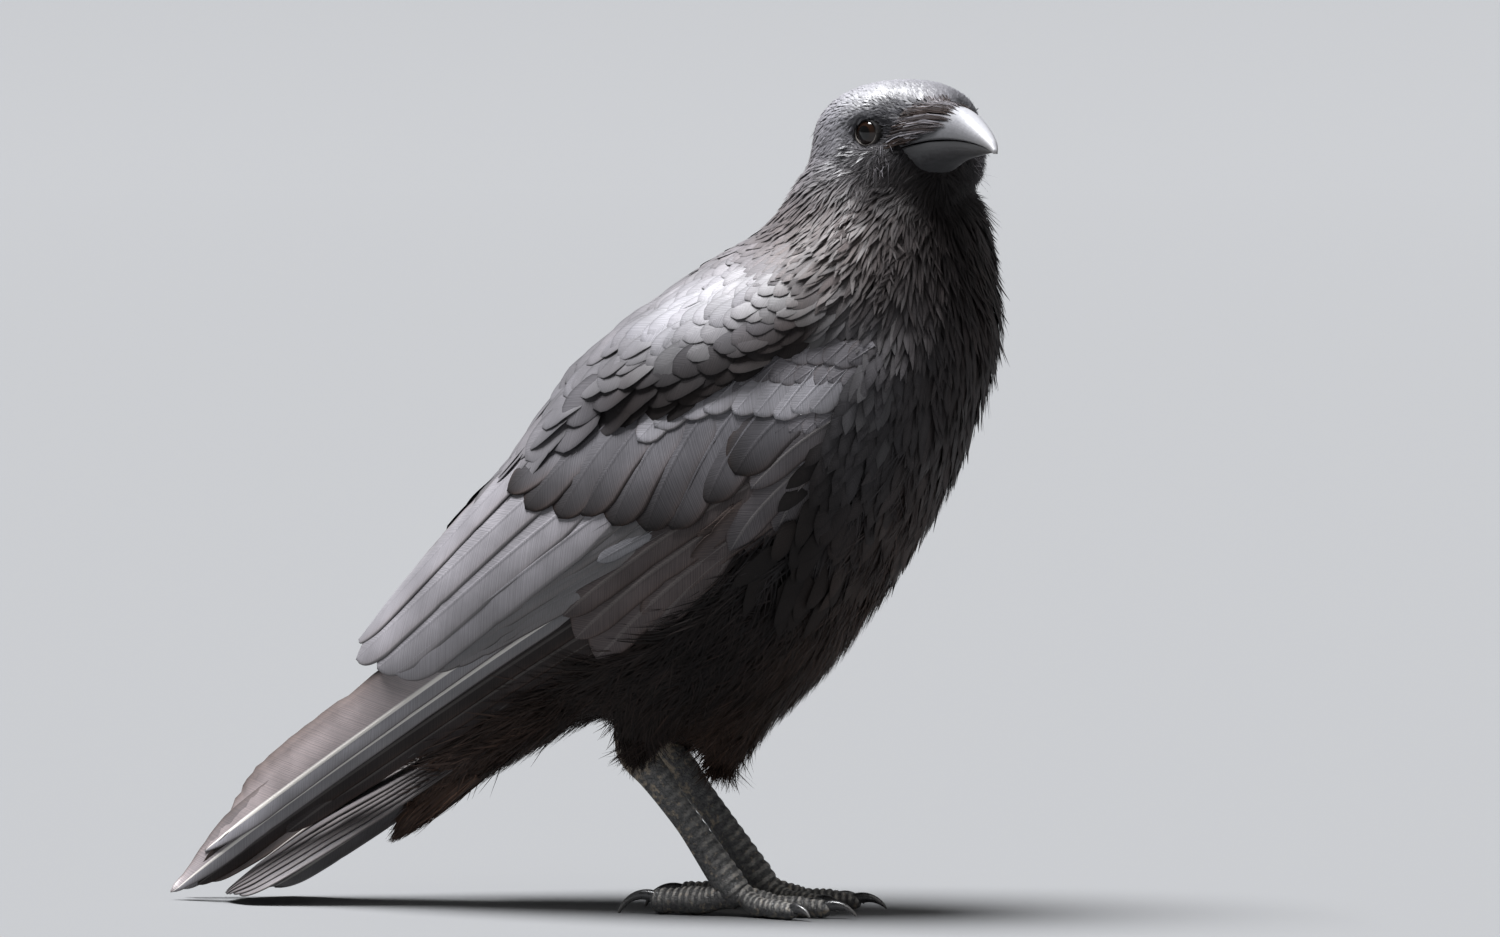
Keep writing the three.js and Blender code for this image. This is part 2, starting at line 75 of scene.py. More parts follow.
TAIL_TIP = 194.0      # the tail's tip is this far behind the leg line
EYES_BACK = 1.0       # the eyes' middles are this far behind the head's own middle
HEAD_PITCH = 3.5      # degrees that the bill is held above level


def node_middle(node):
    low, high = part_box(node)
    return np.array((low + high) / 2) / MM


ORIGIN = np.array([
    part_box("tail")[0].x / MM + TAIL_TIP,
    (node_middle("wing_right")[1] + node_middle("wing_left")[1]) / 2,
    0.0,
])


def unit(v):
    return v / np.maximum(np.linalg.norm(v, axis=-1, keepdims=True), 1e-9)


def ramp(value, start, end):
    """How far a value has come from `start` to `end`, from 0 to 1."""
    return np.clip((value - start) / (end - start), 0, 1)


def eased(share):
    """A share from 0 to 1 that leaves 0 and reaches 1 without a corner."""
    return share * share * (3 - 2 * share)


def head_axes():
    """The head's middle in body places, and its axes as rows: ahead, left and up."""
    right = node_middle("eye_right") - ORIGIN
    left = node_middle("eye_left") - ORIGIN
    side = unit(left - right)
    level = unit(np.cross(side, (0, 0, 1)))
    pitch = math.radians(HEAD_PITCH)
    ahead = level * math.cos(pitch) + np.array([0, 0, math.sin(pitch)])
    return (left + right) / 2 + ahead * EYES_BACK, np.array([ahead, side, np.cross(ahead, side)])


HEAD, HEAD_AXES = head_axes()


def from_head(places):
    """Body places of places on the head."""
    return HEAD + np.asarray(places, float) @ HEAD_AXES


# ---------------------------------------------------------------- camera, floor and light

VIEW_AZIMUTH = 17.0           # degrees from the bird's right side towards its front
VIEW_ELEVATION = 2.75         # degrees above level
VIEW_DISTANCE = 5.0           # in metres
VIEW_WIDTH = 0.5263           # what the frame is wide at the bird, in metres
VIEW_MIDDLE = (0, 0, 156.2)   # the place on the body that the frame is centred on
VIEW_CLIP = (0.1, 50)         # the nearest and the farthest that the camera sees, in metres
SENSOR = 36.0
# Each light: its azimuth, elevation and width in degrees, its strength and its colour.
SUNS = {
    "light_top": (-55, 79, 34, 13.0, (0.97, 0.98, 1.0)),
    "light_front": (40, 55, 30, 0.35, (1.0, 0.98, 0.95)),
}
SKY_COLOUR = (0.93, 0.95, 0.96, 1)
SKY_STRENGTH = 0.12


def to_world(place):
    return Vector((np.asarray(place, float) + ORIGIN) * MM)


def direction(azimuth, elevation):
    """The way from the bird to a camera or a light, by its angles in degrees."""
    a, e = math.radians(azimuth), math.radians(elevation)
    return Vector((math.sin(a) * math.cos(e), -math.cos(a) * math.cos(e), math.sin(e)))


def new_object(name, data):
    made = bpy.data.objects.new(name, data)
    bpy.context.scene.collection.objects.link(made)
    return made


def shade_smooth(mesh):
    mesh.polygons.foreach_set("use_smooth", np.ones(len(mesh.polygons), bool))


def add_camera():
    back = direction(VIEW_AZIMUTH, VIEW_ELEVATION)
    data = bpy.data.cameras.new("camera")
    data.sensor_width = SENSOR
    data.lens = SENSOR * VIEW_DISTANCE / VIEW_WIDTH
    data.clip_start, data.clip_end = VIEW_CLIP
    camera = new_object("camera", data)
    camera.location = to_world(VIEW_MIDDLE) + back * VIEW_DISTANCE
    camera.rotation_euler = (-back).to_track_quat("-Z", "Y").to_euler()
    bpy.context.scene.camera = camera


def add_sun(name, azimuth, elevation, width, strength, colour):
    data = bpy.data.lights.new(name, "SUN")
    data.angle = math.radians(width)
    data.energy = strength
    data.color = colour
    light = new_object(name, data)
    light.rotation_euler = direction(azimuth, elevation).to_track_quat("Z", "Y").to_euler()


def add_studio():
    """Two soft far lights and a dim even sky."""
    for name, sun in SUNS.items():
        add_sun(name, *sun)
    world = bpy.data.worlds.new("studio")
    world.use_nodes = True
    background = world.node_tree.nodes["Background"]
    background.inputs["Color"].default_value = SKY_COLOUR
    background.inputs["Strength"].default_value = SKY_STRENGTH
    bpy.context.scene.world = world
    bpy.context.scene.view_settings.view_transform = "Standard"


FLOOR_FLAT = 9.0      # in metres: the floor is flat this far out
FLOOR_CURVE = 3.0     # and rises round it on a curve of this radius
FLOOR_HUB = 0.01      # radius of its innermost ring
FLOOR_RINGS = 20      # rings up the curve
FLOOR_SIDES = 96
FLOOR_COLOUR = (0.142, 0.144, 0.147)


def add_floor():
    """A plain round floor that curves up into a low wall all round, so that no horizon shows."""
    bend = np.linspace(0, math.pi / 2, FLOOR_RINGS)
    radius = np.concatenate([[FLOOR_HUB], FLOOR_FLAT + FLOOR_CURVE * np.sin(bend)])
    height = np.concatenate([[0.0], FLOOR_CURVE * (1 - np.cos(bend))])
    angle = np.arange(FLOOR_SIDES) / FLOOR_SIDES * 2 * math.pi
    x, y = radius[:, None] * np.cos(angle), radius[:, None] * np.sin(angle)
    z = np.broadcast_to(height[:, None], x.shape)
    corners = [tuple(c) for c in np.stack([x, y, z], -1).reshape(-1, 3)] + [(0.0, 0.0, 0.0)]
    faces = [(k, (k + 1) % FLOOR_SIDES, len(corners) - 1) for k in range(FLOOR_SIDES)]
    for row in range(len(radius) - 1):
        for k in range(FLOOR_SIDES):
            a, b = row * FLOOR_SIDES + k, row * FLOOR_SIDES + (k + 1) % FLOOR_SIDES
            faces.append((a, a + FLOOR_SIDES, b + FLOOR_SIDES, b))
    mesh = bpy.data.meshes.new("floor")
    mesh.from_pydata(corners, [], faces)
    shade_smooth(mesh)
    mesh.materials.append(Look("floor").surface(FLOOR_COLOUR, 0.9, 0.1))
    floor = new_object("floor", mesh)
    floor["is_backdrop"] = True


# ---------------------------------------------------------------- materials

NOISE = (0.3, 0.7)    # nearly all of a noise lies between these
FINE = 0.0002         # depth of the finest relief, in metres


class Look:
    """One material: its shader, and the nodes that feed it."""

    def __init__(self, name):
        self.material = bpy.data.materials.new(name)
        self.material.use_nodes = True
        self.tree = self.material.node_tree
        self.shader = self.tree.nodes["Principled BSDF"]

    def feed(self, socket, value):
        """Gives a socket a number, a colour or what another node puts out."""
        if isinstance(value, (int, float)):
            socket.default_value = value
        elif isinstance(value, tuple):
            socket.default_value = (*value, 1)
        else:
            self.tree.links.new(value, socket)

    def node(self, kind, inputs, output=0, **settings):
        """A new node's output. The inputs and the output go by their names or numbers."""
        node = self.tree.nodes.new("ShaderNode" + kind)
        for name, value in settings.items():
            setattr(node, name, value)
        for key, value in inputs.items():
            self.feed(node.inputs[key], value)
        return node.outputs[output]

    def attribute(self, name):
        return self.node("Attribute", {}, "Fac", attribute_name=name)

    def places(self):
        """Object places in metres."""
        return self.node("TexCoord", {}, "Object")

    def times(self, a, b):
        return self.node("Math", {0: a, 1: b}, operation="MULTIPLY")

    def plus(self, a, b):
        return self.node("Math", {0: a, 1: b}, operation="ADD")

    def mix(self, amount, a, b, blend="MIX"):
        """One colour mixed into another, or blended with it in the way named."""
        return self.node("Mix", {0: amount, 6: a, 7: b}, 2, data_type="RGBA", blend_type=blend)

    def noise(self, scale, detail, along=None):
        """Noise from 0 to 1 over object places, or along one number."""
        inputs = {"Scale": scale, "Detail": detail}
        if along is None:
            return self.node("TexNoise", {"Vector": self.places(), **inputs}, "Fac")
        return self.node("TexNoise", {"W": along, **inputs}, "Fac", noise_dimensions="1D")

    def spread(self, value, low, high, new_low=0.0, new_high=1.0):
        """A value moved from one span to another, and held at its ends."""
        return self.node("MapRange", {0: value, 1: low, 2: high, 3: new_low, 4: new_high})

    def bump(self, height, strength, depth=FINE):
        relief = {"Height": height, "Strength": strength, "Distance": depth}
        self.feed(self.shader.inputs["Normal"], self.node("Bump", relief, "Normal"))

    def surface(self, colour, roughness, specular):
        """Gives the shader its colour, roughness and specular level, and hands the material out."""
        self.feed(self.shader.inputs["Base Color"], colour)
        self.feed(self.shader.inputs["Roughness"], roughness)
        self.feed(self.shader.inputs["Specular IOR Level"], specular)
        return self.material


# ---------------------------------------------------------------- meshes made of many grids

# What the materials read at each corner of a mesh.
VALUES = ("worn", "pale", "tone", "barb", "shaft", "edge")


def add_piece(name, mesh, values, material, replaces):
    """Makes a mesh one visible piece of the bird, with the values that its material reads."""
    for value_name in VALUES:
        layer = mesh.attributes.new(value_name, "FLOAT", "POINT")
        layer.data.foreach_set("value", values.get(value_name, np.zeros(len(mesh.vertices))))
    shade_smooth(mesh)
    mesh.materials.append(material)
    piece = new_object(name, mesh)
    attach(piece, "root")
    if replaces:
        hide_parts(*replaces)


class Grids:
    """Many small grids of vertices, gathered into one mesh with what its material reads."""

    def __init__(self):
        self.points, self.quads, self.bake, self.count = [], [], [], 0
        self.values = {name: [] for name in VALUES}

    def add(self, points, bake, ring=False, **values):
        """Adds n grids of rows and columns; `bake` holds one more column if they are rings."""
        n, rows, columns, _ = points.shape
        index = np.arange(n * rows * columns).reshape(n, rows, columns) + self.count
        right = np.roll(index, -1, axis=2) if ring else index[:, :, 1:]
        left = index if ring else index[:, :, :-1]
        corners = [left[:, :-1], right[:, :-1], right[:, 1:], left[:, 1:]]
        self.quads.append(np.stack(corners, -1).reshape(-1, 4))
        spots = [bake[:, :-1, :-1], bake[:, :-1, 1:], bake[:, 1:, 1:], bake[:, 1:, :-1]]
        self.bake.append(np.stack(spots, -2).reshape(-1, 4, 2))
        if ring:
            self.close_ends(index, bake)
        self.points.append(points.reshape(-1, 3))
        for name in VALUES:
            value = np.asarray(values.get(name, 0.0), float)
            value = value.reshape(value.shape + (1,) * (3 - value.ndim))
            self.values[name].append(np.broadcast_to(value, (n, rows, columns)).ravel())
        self.count += n * rows * columns

    def close_ends(self, index, bake):
        """Joins each ring's two halves across its first and its last row."""
        half = index.shape[2] // 2
        for row, turned in ((0, True), (-1, False)):
            a, b = index[:, row, :half - 1], index[:, row, 1:half]
            back = index[:, row, ::-1]
            c, d = back[:, 1:half], back[:, :half - 1]
            quads = np.stack([b, a, d, c] if turned else [a, b, c, d], -1).reshape(-1, 4)
            spot = np.repeat(bake[:, row, :half - 1], 4, axis=1).reshape(-1, 4, 2)
            shift = np.array([[0, 0], [1, 0], [1, 1], [0, 1]]) * 1e-4
            self.quads.append(quads)
            self.bake.append(spot + shift)

    def mirrored(self):
        """The same grids on the bird's other side."""
        other = Grids()
        other.points = [p * (1, -1, 1) for p in self.points]
        other.quads = [q[:, ::-1] for q in self.quads]
        other.bake = [b[:, ::-1] for b in self.bake]
        other.values = {name: list(parts) for name, parts in self.values.items()}
        other.count = self.count
        return other

    def build(self, name, material, slot, replaces=()):
        """Makes a piece of the grids, with the bake's map."""
        points = (np.concatenate(self.points) + ORIGIN) * MM
        quads = np.concatenate(self.quads)
        mesh = bpy.data.meshes.new(name)
        mesh.vertices.add(len(points))
        mesh.vertices.foreach_set("co", points.ravel())
        mesh.loops.add(quads.size)
        mesh.loops.foreach_set("vertex_index", quads.ravel())
        mesh.polygons.add(len(quads))
        mesh.polygons.foreach_set("loop_start", np.arange(0, quads.size, 4))
        mesh.polygons.foreach_set("loop_total", np.full(len(quads), 4))
        mesh.update(calc_edges=True)
        values = {value: np.concatenate(parts) for value, parts in self.values.items()}
        add_piece(name, mesh, values, material, replaces)
        layer = mesh.uv_layers.new(name="OFBake")
        layer.data.foreach_set("uv", np.concatenate(self.bake).ravel())


# ---------------------------------------------------------------- the form under the feathers

FLESH = ("trunk", "neck", "head", "thigh_right", "thigh_left")
FOLDED = (*FLESH, "wing_right", "wing_left", "primaries_right", "primaries_left")


def cad_mesh(node):
    """A CAD node's corners in body places, and its triangles."""
    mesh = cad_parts[node].data
    mesh.calc_loop_triangles()
    points = np.empty(len(mesh.vertices) * 3)
    mesh.vertices.foreach_get("co", points)
    faces = np.empty(len(mesh.loop_triangles) * 3, int)
    mesh.loop_triangles.foreach_get("vertices", faces)
    return points.reshape(-1, 3) / MM - ORIGIN, faces.reshape(-1, 3)


def remesh(nodes, voxel, smoothing):
    """One even closed mesh over several CAD nodes: its corners, their normals and its quads."""
    points, faces, start = [], [], 0
    for node in nodes:
        p, f = cad_mesh(node)
        points.append(p)
        faces.append(f + start)
        start += len(p)
    mesh = bpy.data.meshes.new("form")
    mesh.from_pydata(np.concatenate(points), [], np.concatenate(faces).tolist())
    body = new_object("form", mesh)
    modifier = body.modifiers.new("remesh", "REMESH")
    modifier.mode = "VOXEL"
    modifier.voxel_size = voxel
    modifier = body.modifiers.new("smooth", "SMOOTH")
    modifier.factor = 0.5
    modifier.iterations = smoothing
    graph = bpy.context.evaluated_depsgraph_get()
    made = bpy.data.meshes.new_from_object(body.evaluated_get(graph))
    bpy.data.objects.remove(body)
    count = len(made.vertices)
    co, normals = np.empty(count * 3), np.empty(count * 3)
    made.vertices.foreach_get("co", co)
    made.vertices.foreach_get("normal", normals)
    quads = [tuple(p.vertices) for p in made.polygons]
    bpy.data.meshes.remove(made)
    return co.reshape(-1, 3), normals.reshape(-1, 3), quads


FACING = 0.35         # how far a face has to look along a direction to be kept: a cosine


def facing(points, normals, faces, way):
    """The part of a mesh whose faces look along `way`, without its rims and its far side."""
    kept = [f for f in faces if normals[list(f)].mean(0) @ way > FACING]
    return points, normals, kept


FAR_SIDE = 150        # rays from beside the bird start this far out from its midplane
USUAL_SIDE = -30      # where a flank is taken to be when they all miss
FAR_ABOVE = 300       # and rays from above start this high


class Surface:
    """A mesh that places can be settled on."""

    def __init__(self, points, normals, faces):
        self.points, self.faces = points, faces
        self.tree = BVHTree.FromPolygons(points.tolist(), faces)
        self.normals = unit(np.array([normals[list(f)].mean(0) for f in faces]))

    def nearest(self, places):
        """The nearest places on the surface, and the outward normals there."""
        hits = [self.tree.find_nearest(Vector(p)) for p in places]
        spots = np.array([h[0] for h in hits])
        return spots, self.normals[[h[2] for h in hits]]

    def from_side(self, places):
        """Places on the right flank at each x and z, and the outward normals there."""
        start = [Vector((x, -FAR_SIDE, z)) for x, z in places]
        hits = [self.tree.ray_cast(p, Vector((0, 1, 0))) for p in start]
        seen = [h[0].y for h in hits if h[0] is not None]
        level = Vector((0, FAR_SIDE + (np.mean(seen) if seen else USUAL_SIDE), 0))
        found = [h if h[0] is not None else self.tree.find_nearest(p + level)
                 for h, p in zip(hits, start)]
        spots = np.array([(x, h[0].y, z) for h, (x, z) in zip(found, places)])
        return spots, self.normals[[h[2] for h in found]]

    def from_above(self, places):
        """Places on top at each x and y, and the outward normals there."""
        start = [Vector((x, y, FAR_ABOVE)) for x, y in places]
        hits = [self.tree.ray_cast(p, Vector((0, 0, -1))) for p in start]
        seen = [h[0].z for h in hits if h[0] is not None]
        level = float(np.mean(seen)) if seen else 0.0
        found = [h if h[0] is not None else self.tree.find_nearest(Vector((x, y, level)))
                 for h, (x, y) in zip(hits, places)]
        spots = np.array([(x, y, h[0].z) for h, (x, y) in zip(found, places)])
        return spots, self.normals[[h[2] for h in found]]


ALIKE = 0.6           # corners whose normals agree this well even each other out: a cosine


def evened(points, normals, faces, share, rounds):
    """The same mesh with its facets rounded off and its thin edges kept where they are."""
    quads = np.array([f for f in faces if len(f) == 4])
    a = quads.ravel()
    b = np.roll(quads, -1, axis=1).ravel()
    a, b = np.concatenate([a, b]), np.concatenate([b, a])
    count = len(points)
    for _ in range(rounds):
        alike = (normals[a] * normals[b]).sum(1) > ALIKE
        i, j = a[alike], b[alike]
        near = np.stack([np.bincount(i, points[j, k], count) for k in range(3)], 1)
        way = np.stack([np.bincount(i, normals[j, k], count) for k in range(3)], 1)
        many = np.bincount(i, minlength=count)
        touched = many > 0
        many = many.clip(1)[:, None]
        step = ((near / many - points) * normals).sum(1) * share * touched
        points = points + normals * step[:, None]
        normals = unit(normals + way / many * share[:, None])
    return points, normals, faces


FACE_FRONT = 16.0     # from here on the face is drawn back into the bill's base
FACE_WIDTH = 0.62     # what is left of its width there
FACE_LENGTH = 0.25    # what is left of its length ahead of that
THROAT = (-34, -20)   # the drawing in comes to an end below between these heights
BROW = (15, 9)        # and above between these


def drawn_in(points):
    """The same places with the face narrower ahead of the eyes than in the plain CAD form."""
    local = (points - HEAD) @ HEAD_AXES.T
    x, y, z = local.T.copy()
    ahead = eased(ramp(x, 0, FACE_FRONT))
    below = ramp(z, *THROAT)
    y = y * (1 - (1 - FACE_WIDTH) * ahead * below * ramp(z, *BROW))
    x = x - (1 - FACE_LENGTH) * np.clip(x - FACE_FRONT, 0, None) * below
    return HEAD + np.stack([x, y, z], 1) @ HEAD_AXES


def normals_of(points, quads):
    out = np.zeros_like(points)
    a, b, c, d = (points[quads[:, k]] for k in range(4))
    area = np.cross(c - a, d - b)
    for k in range(4):
        for axis in range(3):
            out[:, axis] += np.bincount(quads[:, k], area[:, axis], len(points))
    return unit(out)


BODY_ROUNDS = 40      # rounds of evening for the form
HEAD_SHARE = 0.15     # how much of each round the head gets
HEAD_REACH = (38, 63)  # the head's share goes over into the body's between these distances


def form_of(nodes):
    """An even mesh over several CAD nodes, with their edges rounded and the face drawn in."""
    points, normals, faces = remesh(nodes, voxel=1.7, smoothing=3)
    far = ramp(np.linalg.norm(points - HEAD, axis=1), *HEAD_REACH)
    share = HEAD_SHARE + (1 - HEAD_SHARE) * far
    points, normals, faces = evened(points, normals, faces, share, BODY_ROUNDS)
    points = drawn_in(points)
    fresh = normals_of(points, np.array([f for f in faces if len(f) == 4]))
    return points, np.where(far[:, None] > 0, normals, fresh), faces


FORM = Surface(*form_of(FOLDED))
WINGS = {node: BVHTree.FromPolygons(*[a.tolist() for a in cad_mesh(node)])
         for node in FOLDED if node not in FLESH}

# ---------------------------------------------------------------- the lie of the coat

# What the feathers are like at chosen places. Each row: place, the way the feathers point, how
# far the row is felt, length, width, lift of the tip, then from 0 to about 1 how pointed, how
# hairy, how pale with painted sheen (a paler colour standing in for the sheen of the light from
# above) and how brown with wear. Rows with y above 0 count for both sides.
COLUMNS = ("felt", "length", "width", "lift", "point", "frizz", "pale", "worn")
BODY_COAT = [
    ((88, 0, 232), (0.05, 0, -1), 16, 15, 2.0, 1.5, 0.95, 0.1, 0.03, 0.1),
    ((66, 38, 230), (-0.2, 0, -1), 16, 13, 1.8, 1.1, 0.9, 0.1, 0.06, 0.07),
    ((38, 30, 240), (-0.55, 0, -0.9), 14, 12, 1.8, 0.8, 0.8, 0.15, 0.4, 0.5),
    ((28, 0, 262), (-0.75, 0, -0.7), 12, 11, 1.7, 0.7, 0.8, 0.15, 0.25, 0.5),
    ((92, 0, 200), (-0.02, 0, -1), 16, 20, 2.8, 2.2, 0.95, 0.1, 0.05, 0.12),
    ((74, 40, 205), (-0.2, 0, -1), 14, 17, 2.8, 1.3, 0.9, 0.1, 0.1, 0.05),
    ((5, 12, 240), (-0.9, 0, -0.5), 13, 12, 7, 0.25, 0.1, 0, 0.5, 0.15),
    ((15, 38, 225), (-0.8, 0, -0.55), 13, 13, 8, 0.25, 0.1, 0, 0.8, 0.1),
    ((-24, 12, 222), (-0.8, 0, -0.65), 16, 18, 10, 0.3, 0, 0, 0.5, 0.1),
    ((-5, 45, 212), (-0.85, 0, -0.5), 12, 19, 11, 0.25, 0, 0, 1.2, 0.05),
    ((-10, 50, 192), (-0.85, 0, -0.5), 9, 21, 13, 0.3, 0, 0, 0.3, 0.05),
    ((-34, 48, 184), (-0.8, 0, -0.6), 7, 22, 14, 0.3, 0, 0, 0.3, 0.05),
    ((14, 50, 198), (-0.85, 0, -0.5), 7, 18, 12, 0.3, 0, 0, 0.3, 0.05),
    ((35, 48, 214), (-0.7, 0, -0.65), 11, 16, 11, 0.25, 0, 0, 0.8, 0.05),
    ((58, 48, 205), (-0.45, 0, -0.9), 9, 14, 8, 0.4, 0.3, 0.1, 0.3, 0.03),
    ((52, 54, 185), (-0.6, 0, -0.8), 9, 15, 6, 0.6, 0.5, 0.2, 0.34, 0.03),
    ((38, 56, 155), (-0.6, 0, -0.8), 9, 16, 6, 0.7, 0.5, 0.3, 0.22, 0.03),
    ((-40, 34, 190), (-0.78, 0, -0.65), 15, 25, 16, 0.35, 0, 0, 0.45, 0.05),
    ((-66, 18, 172), (-0.75, 0, -0.68), 15, 26, 16, 0.35, 0, 0, 0.5, 0.1),
    ((84, 0, 170), (-0.2, 0, -1), 20, 20, 6, 1.6, 0.6, 0.25, 0.12, 0.12),
    ((66, 45, 172), (-0.35, 0, -0.95), 14, 18, 6, 0.9, 0.5, 0.4, 0.1, 0.03),
    ((70, 0, 135), (-0.45, 0, -0.9), 20, 20, 6, 1.6, 0.5, 0.6, 0.05, 0.3),
    ((45, 48, 135), (-0.5, 0, -0.85), 16, 20, 8, 1.2, 0.4, 0.5, 0.08, 0.05),
    ((36, 0, 92), (-0.75, 0, -0.65), 20, 20, 5, 1.4, 0.6, 0.9, 0, 0.3),
    ((10, 52, 100), (-0.65, 0, -0.75), 18, 22, 5, 1.2, 0.6, 0.9, 0, 0.06),
    ((-40, 48, 80), (-0.9, 0, -0.5), 18, 24, 5, 1.2, 0.6, 0.9, 0, 0.12),
    ((0, 0, 68), (-0.75, 0, -0.6), 14, 20, 4, 1.6, 0.8, 1, 0, 0.35),
    ((-8, 8, 55), (-0.05, 0, -1), 9, 15, 3, 1.8, 0.9, 1, 0, 0.45),
    ((-30, 26, 72), (-0.15, 0, -1), 12, 15, 3, 1.0, 0.8, 1, 0, 0.15),
    ((-36, 20, 58), (-0.1, 0, -1), 9, 9, 2.4, 0.8, 0.9, 1, 0, 0.2),
    ((-66, 0, 68), (-0.95, 0, -0.5), 16, 24, 6, 1.6, 0.6, 0.8, 0, 0.3),
    ((-105, 0, 46), (-0.9, 0, -0.6), 14, 20, 4, 0.4, 0.9, 0.9, 0, 0.5),
    ((-128, 0, 28), (-0.9, 0, -0.7), 11, 14, 3, 0.2, 1, 1, 0, 0.8),
    ((-110, 0, 85), (-0.85, 0, -0.6), 16, 24, 10, 1.0, 0.2, 0.2, 0.3, 0.2),
]
HEAD_COAT = [
    ((17, 0, 12), (-1, 0, 0.35), 6, 4, 1.4, 0.3, 0.3, 0, 0.7, 0.05),
    ((0, 0, 19), (-1, 0, 0.05), 12, 4.5, 1.7, 0.25, 0.3, 0, 0.85, 0),
    ((-22, 0, 18), (-1, 0, -0.3), 12, 5.5, 1.9, 0.35, 0.4, 0, 0.9, 0.05),
    ((-40, 0, 4), (-0.6, 0, -1), 12, 8, 1.6, 0.6, 0.6, 0.1, 0.45, 0.35),
    ((-38, 18, -10), (-0.6, 0, -1), 12, 9, 1.5, 0.7, 0.7, 0.1, 0.4, 0.3),
    ((4, 17, 12), (-1, 0.1, 0), 7, 4, 1.5, 0.25, 0.4, 0, 0.85, 0),
    ((13, 12, 10), (-1, 0.1, 0.1), 5, 3.6, 1.4, 0.4, 0.4, 0, 0.8, 0),
    ((9, 13, 3), (-0.8, 0.3, -0.2), 7, 3.5, 0.7, 0.5, 0.9, 0.9, 0, 0),
    ((14, 11, 6), (-0.8, 0.2, 0.1), 5, 3.6, 0.9, 0.5, 0.8, 0.6, 0, 0),
    ((9, 14, 8), (-0.9, 0.2, 0.1), 4, 3.6, 0.9, 0.5, 0.7, 0.4, 0, 0),
    ((2, 17, 5), (-1, 0.2, 0.2), 5, 3.5, 0.8, 0.4, 0.8, 0.6, 0.05, 0),
    ((-4, 27, -11), (-1, 0, -0.45), 7, 6, 0.8, 0.5, 0.9, 0.6, 0.25, 0),
    ((-16, 29, 2), (-0.9, 0, -0.5), 10, 6, 1.2, 0.3, 0.6, 0.15, 1, 0),
    ((-22, 29, -10), (-0.8, 0, -0.7), 8, 8, 1.2, 0.5, 0.8, 0.4, 0.7, 0.1),
    ((6, 16, -12), (-0.9, 0.1, -0.6), 7, 6, 0.9, 0.7, 0.9, 0.6, 0.12, 0.05),
    ((6, 10, -18), (-0.9, 0.1, -0.5), 7, 7, 0.9, 0.7, 0.9, 0.5, 0.02, 0.05),
    ((16, 0, -20), (-0.95, 0, -0.4), 9, 7, 1.0, 0.7, 0.9, 0.4, 0, 0.03),
    ((0, 0, -32), (-0.6, 0, -1), 12, 11, 1.5, 1.1, 0.9, 0.2, 0.02, 0.06),
    ((-12, 26, -26), (-0.45, 0, -1), 11, 10, 1.4, 0.9, 0.85, 0.1, 0.12, 0.05),
]


def both_sides(rows, placed, turned):
    """Arrays of places, directions and the other columns, on both sides."""
    places, ways, rest = [], [], []
    for place, way, *numbers in rows:
        for side in ((1, -1) if place[1] > 0 else (1,)):
            places.append(placed(np.multiply(place, (1, side, 1))))
            ways.append(turned(unit(np.multiply(way, (1, side, 1)))))
            rest.append(numbers)
    return np.array(places, float), np.array(ways, float), np.array(rest, float)


class Coat:
    """The lie, size and look of the feathers at any place, blended from the chosen places."""

    def __init__(self):
        body = both_sides(BODY_COAT, np.array, np.array)
        head = both_sides(HEAD_COAT, from_head, lambda way: way @ HEAD_AXES)
        self.places, self.ways, self.rest = (np.concatenate(pair) for pair in zip(body, head))

    def at(self, places):
        """The feathers' directions, and each column by name."""
        gap = np.linalg.norm(places[:, None] - self.places[None], axis=2) / self.rest[:, 0]
        share = np.exp(-0.5 * gap ** 2) + 1e-4 / (1 + gap ** 2)
        share /= share.sum(1, keepdims=True)
        columns = dict(zip(COLUMNS, (share @ self.rest).T))
        return unit(share @ self.ways), columns


COAT = Coat()


def flat_on(ways, normals):
    """Directions laid into the surface that has those normals."""
    return unit(ways - normals * (ways * normals).sum(-1, keepdims=True))


def turned(ways, normals, angles):
    """Directions in the surface, each turned about its normal."""
    across = np.cross(normals, ways)
    return ways * np.cos(angles)[:, None] + across * np.sin(angles)[:, None]


# ---------------------------------------------------------------- where the feathers grow

# The scapulars end along this line on each flank: x and z. The wing's own feathers lie below it.
SCAPULAR_X = (-120, -78, -50, -38, -15, 10, 30, 47, 60, 76)
SCAPULAR_Z = (130, 148, 166, 174, 179, 187, 200, 206, 203, 196)
ON_WING = 1.6         # a place this near to a wing's solid lies on the wing
LINE_ROOM = 2.0       # and grows none of the coat's feathers up to this far over that line
# In front of this line the body's feathers hide the wing: x and z.
FRONT_X = (20, 20, 32, 42, 51, 60)
FRONT_Z = (100, 128, 150, 170, 190, 205)
OPEN_AIR = 45.0       # feathers grow only where nothing lies this near above them
COAT_END = -124.0     # no feathers of the coat's own grow behind this
EYE_BARE = 4.6        # no feather grows this near to the middle of the eye's opening
EYE_BARE_TIP = 4.2    # nor reaches this near to it with its tip
EYE_AXES_MEET = 9.0   # the eyes look straight away from a place this far behind the head's middle
CROWN_EDGE = 17.5     # the crown's feathers begin here over the bill's ridge, in head places
CROWN_SLANT = 0.5     # and this much farther back for each millimetre to the side
GAPE_AHEAD = 7.0      # the lower mandible is bare ahead of here
GAPE_UP = -5.8        # the height between the mandibles
CHIN = -15.0          # feathers cover the lower mandible's root below this height
BILL_ROOM = 0.4       # feathers keep this far from its sides


def eye_openings():
    """The middle of each eye, right and left, and the way that it looks."""
    spots = []
    for side in ("right", "left"):
        middle = node_middle("eye_" + side) - ORIGIN
        spots.append((middle, unit(middle - HEAD - HEAD_AXES[0] * -EYE_AXES_MEET)))
    return spots


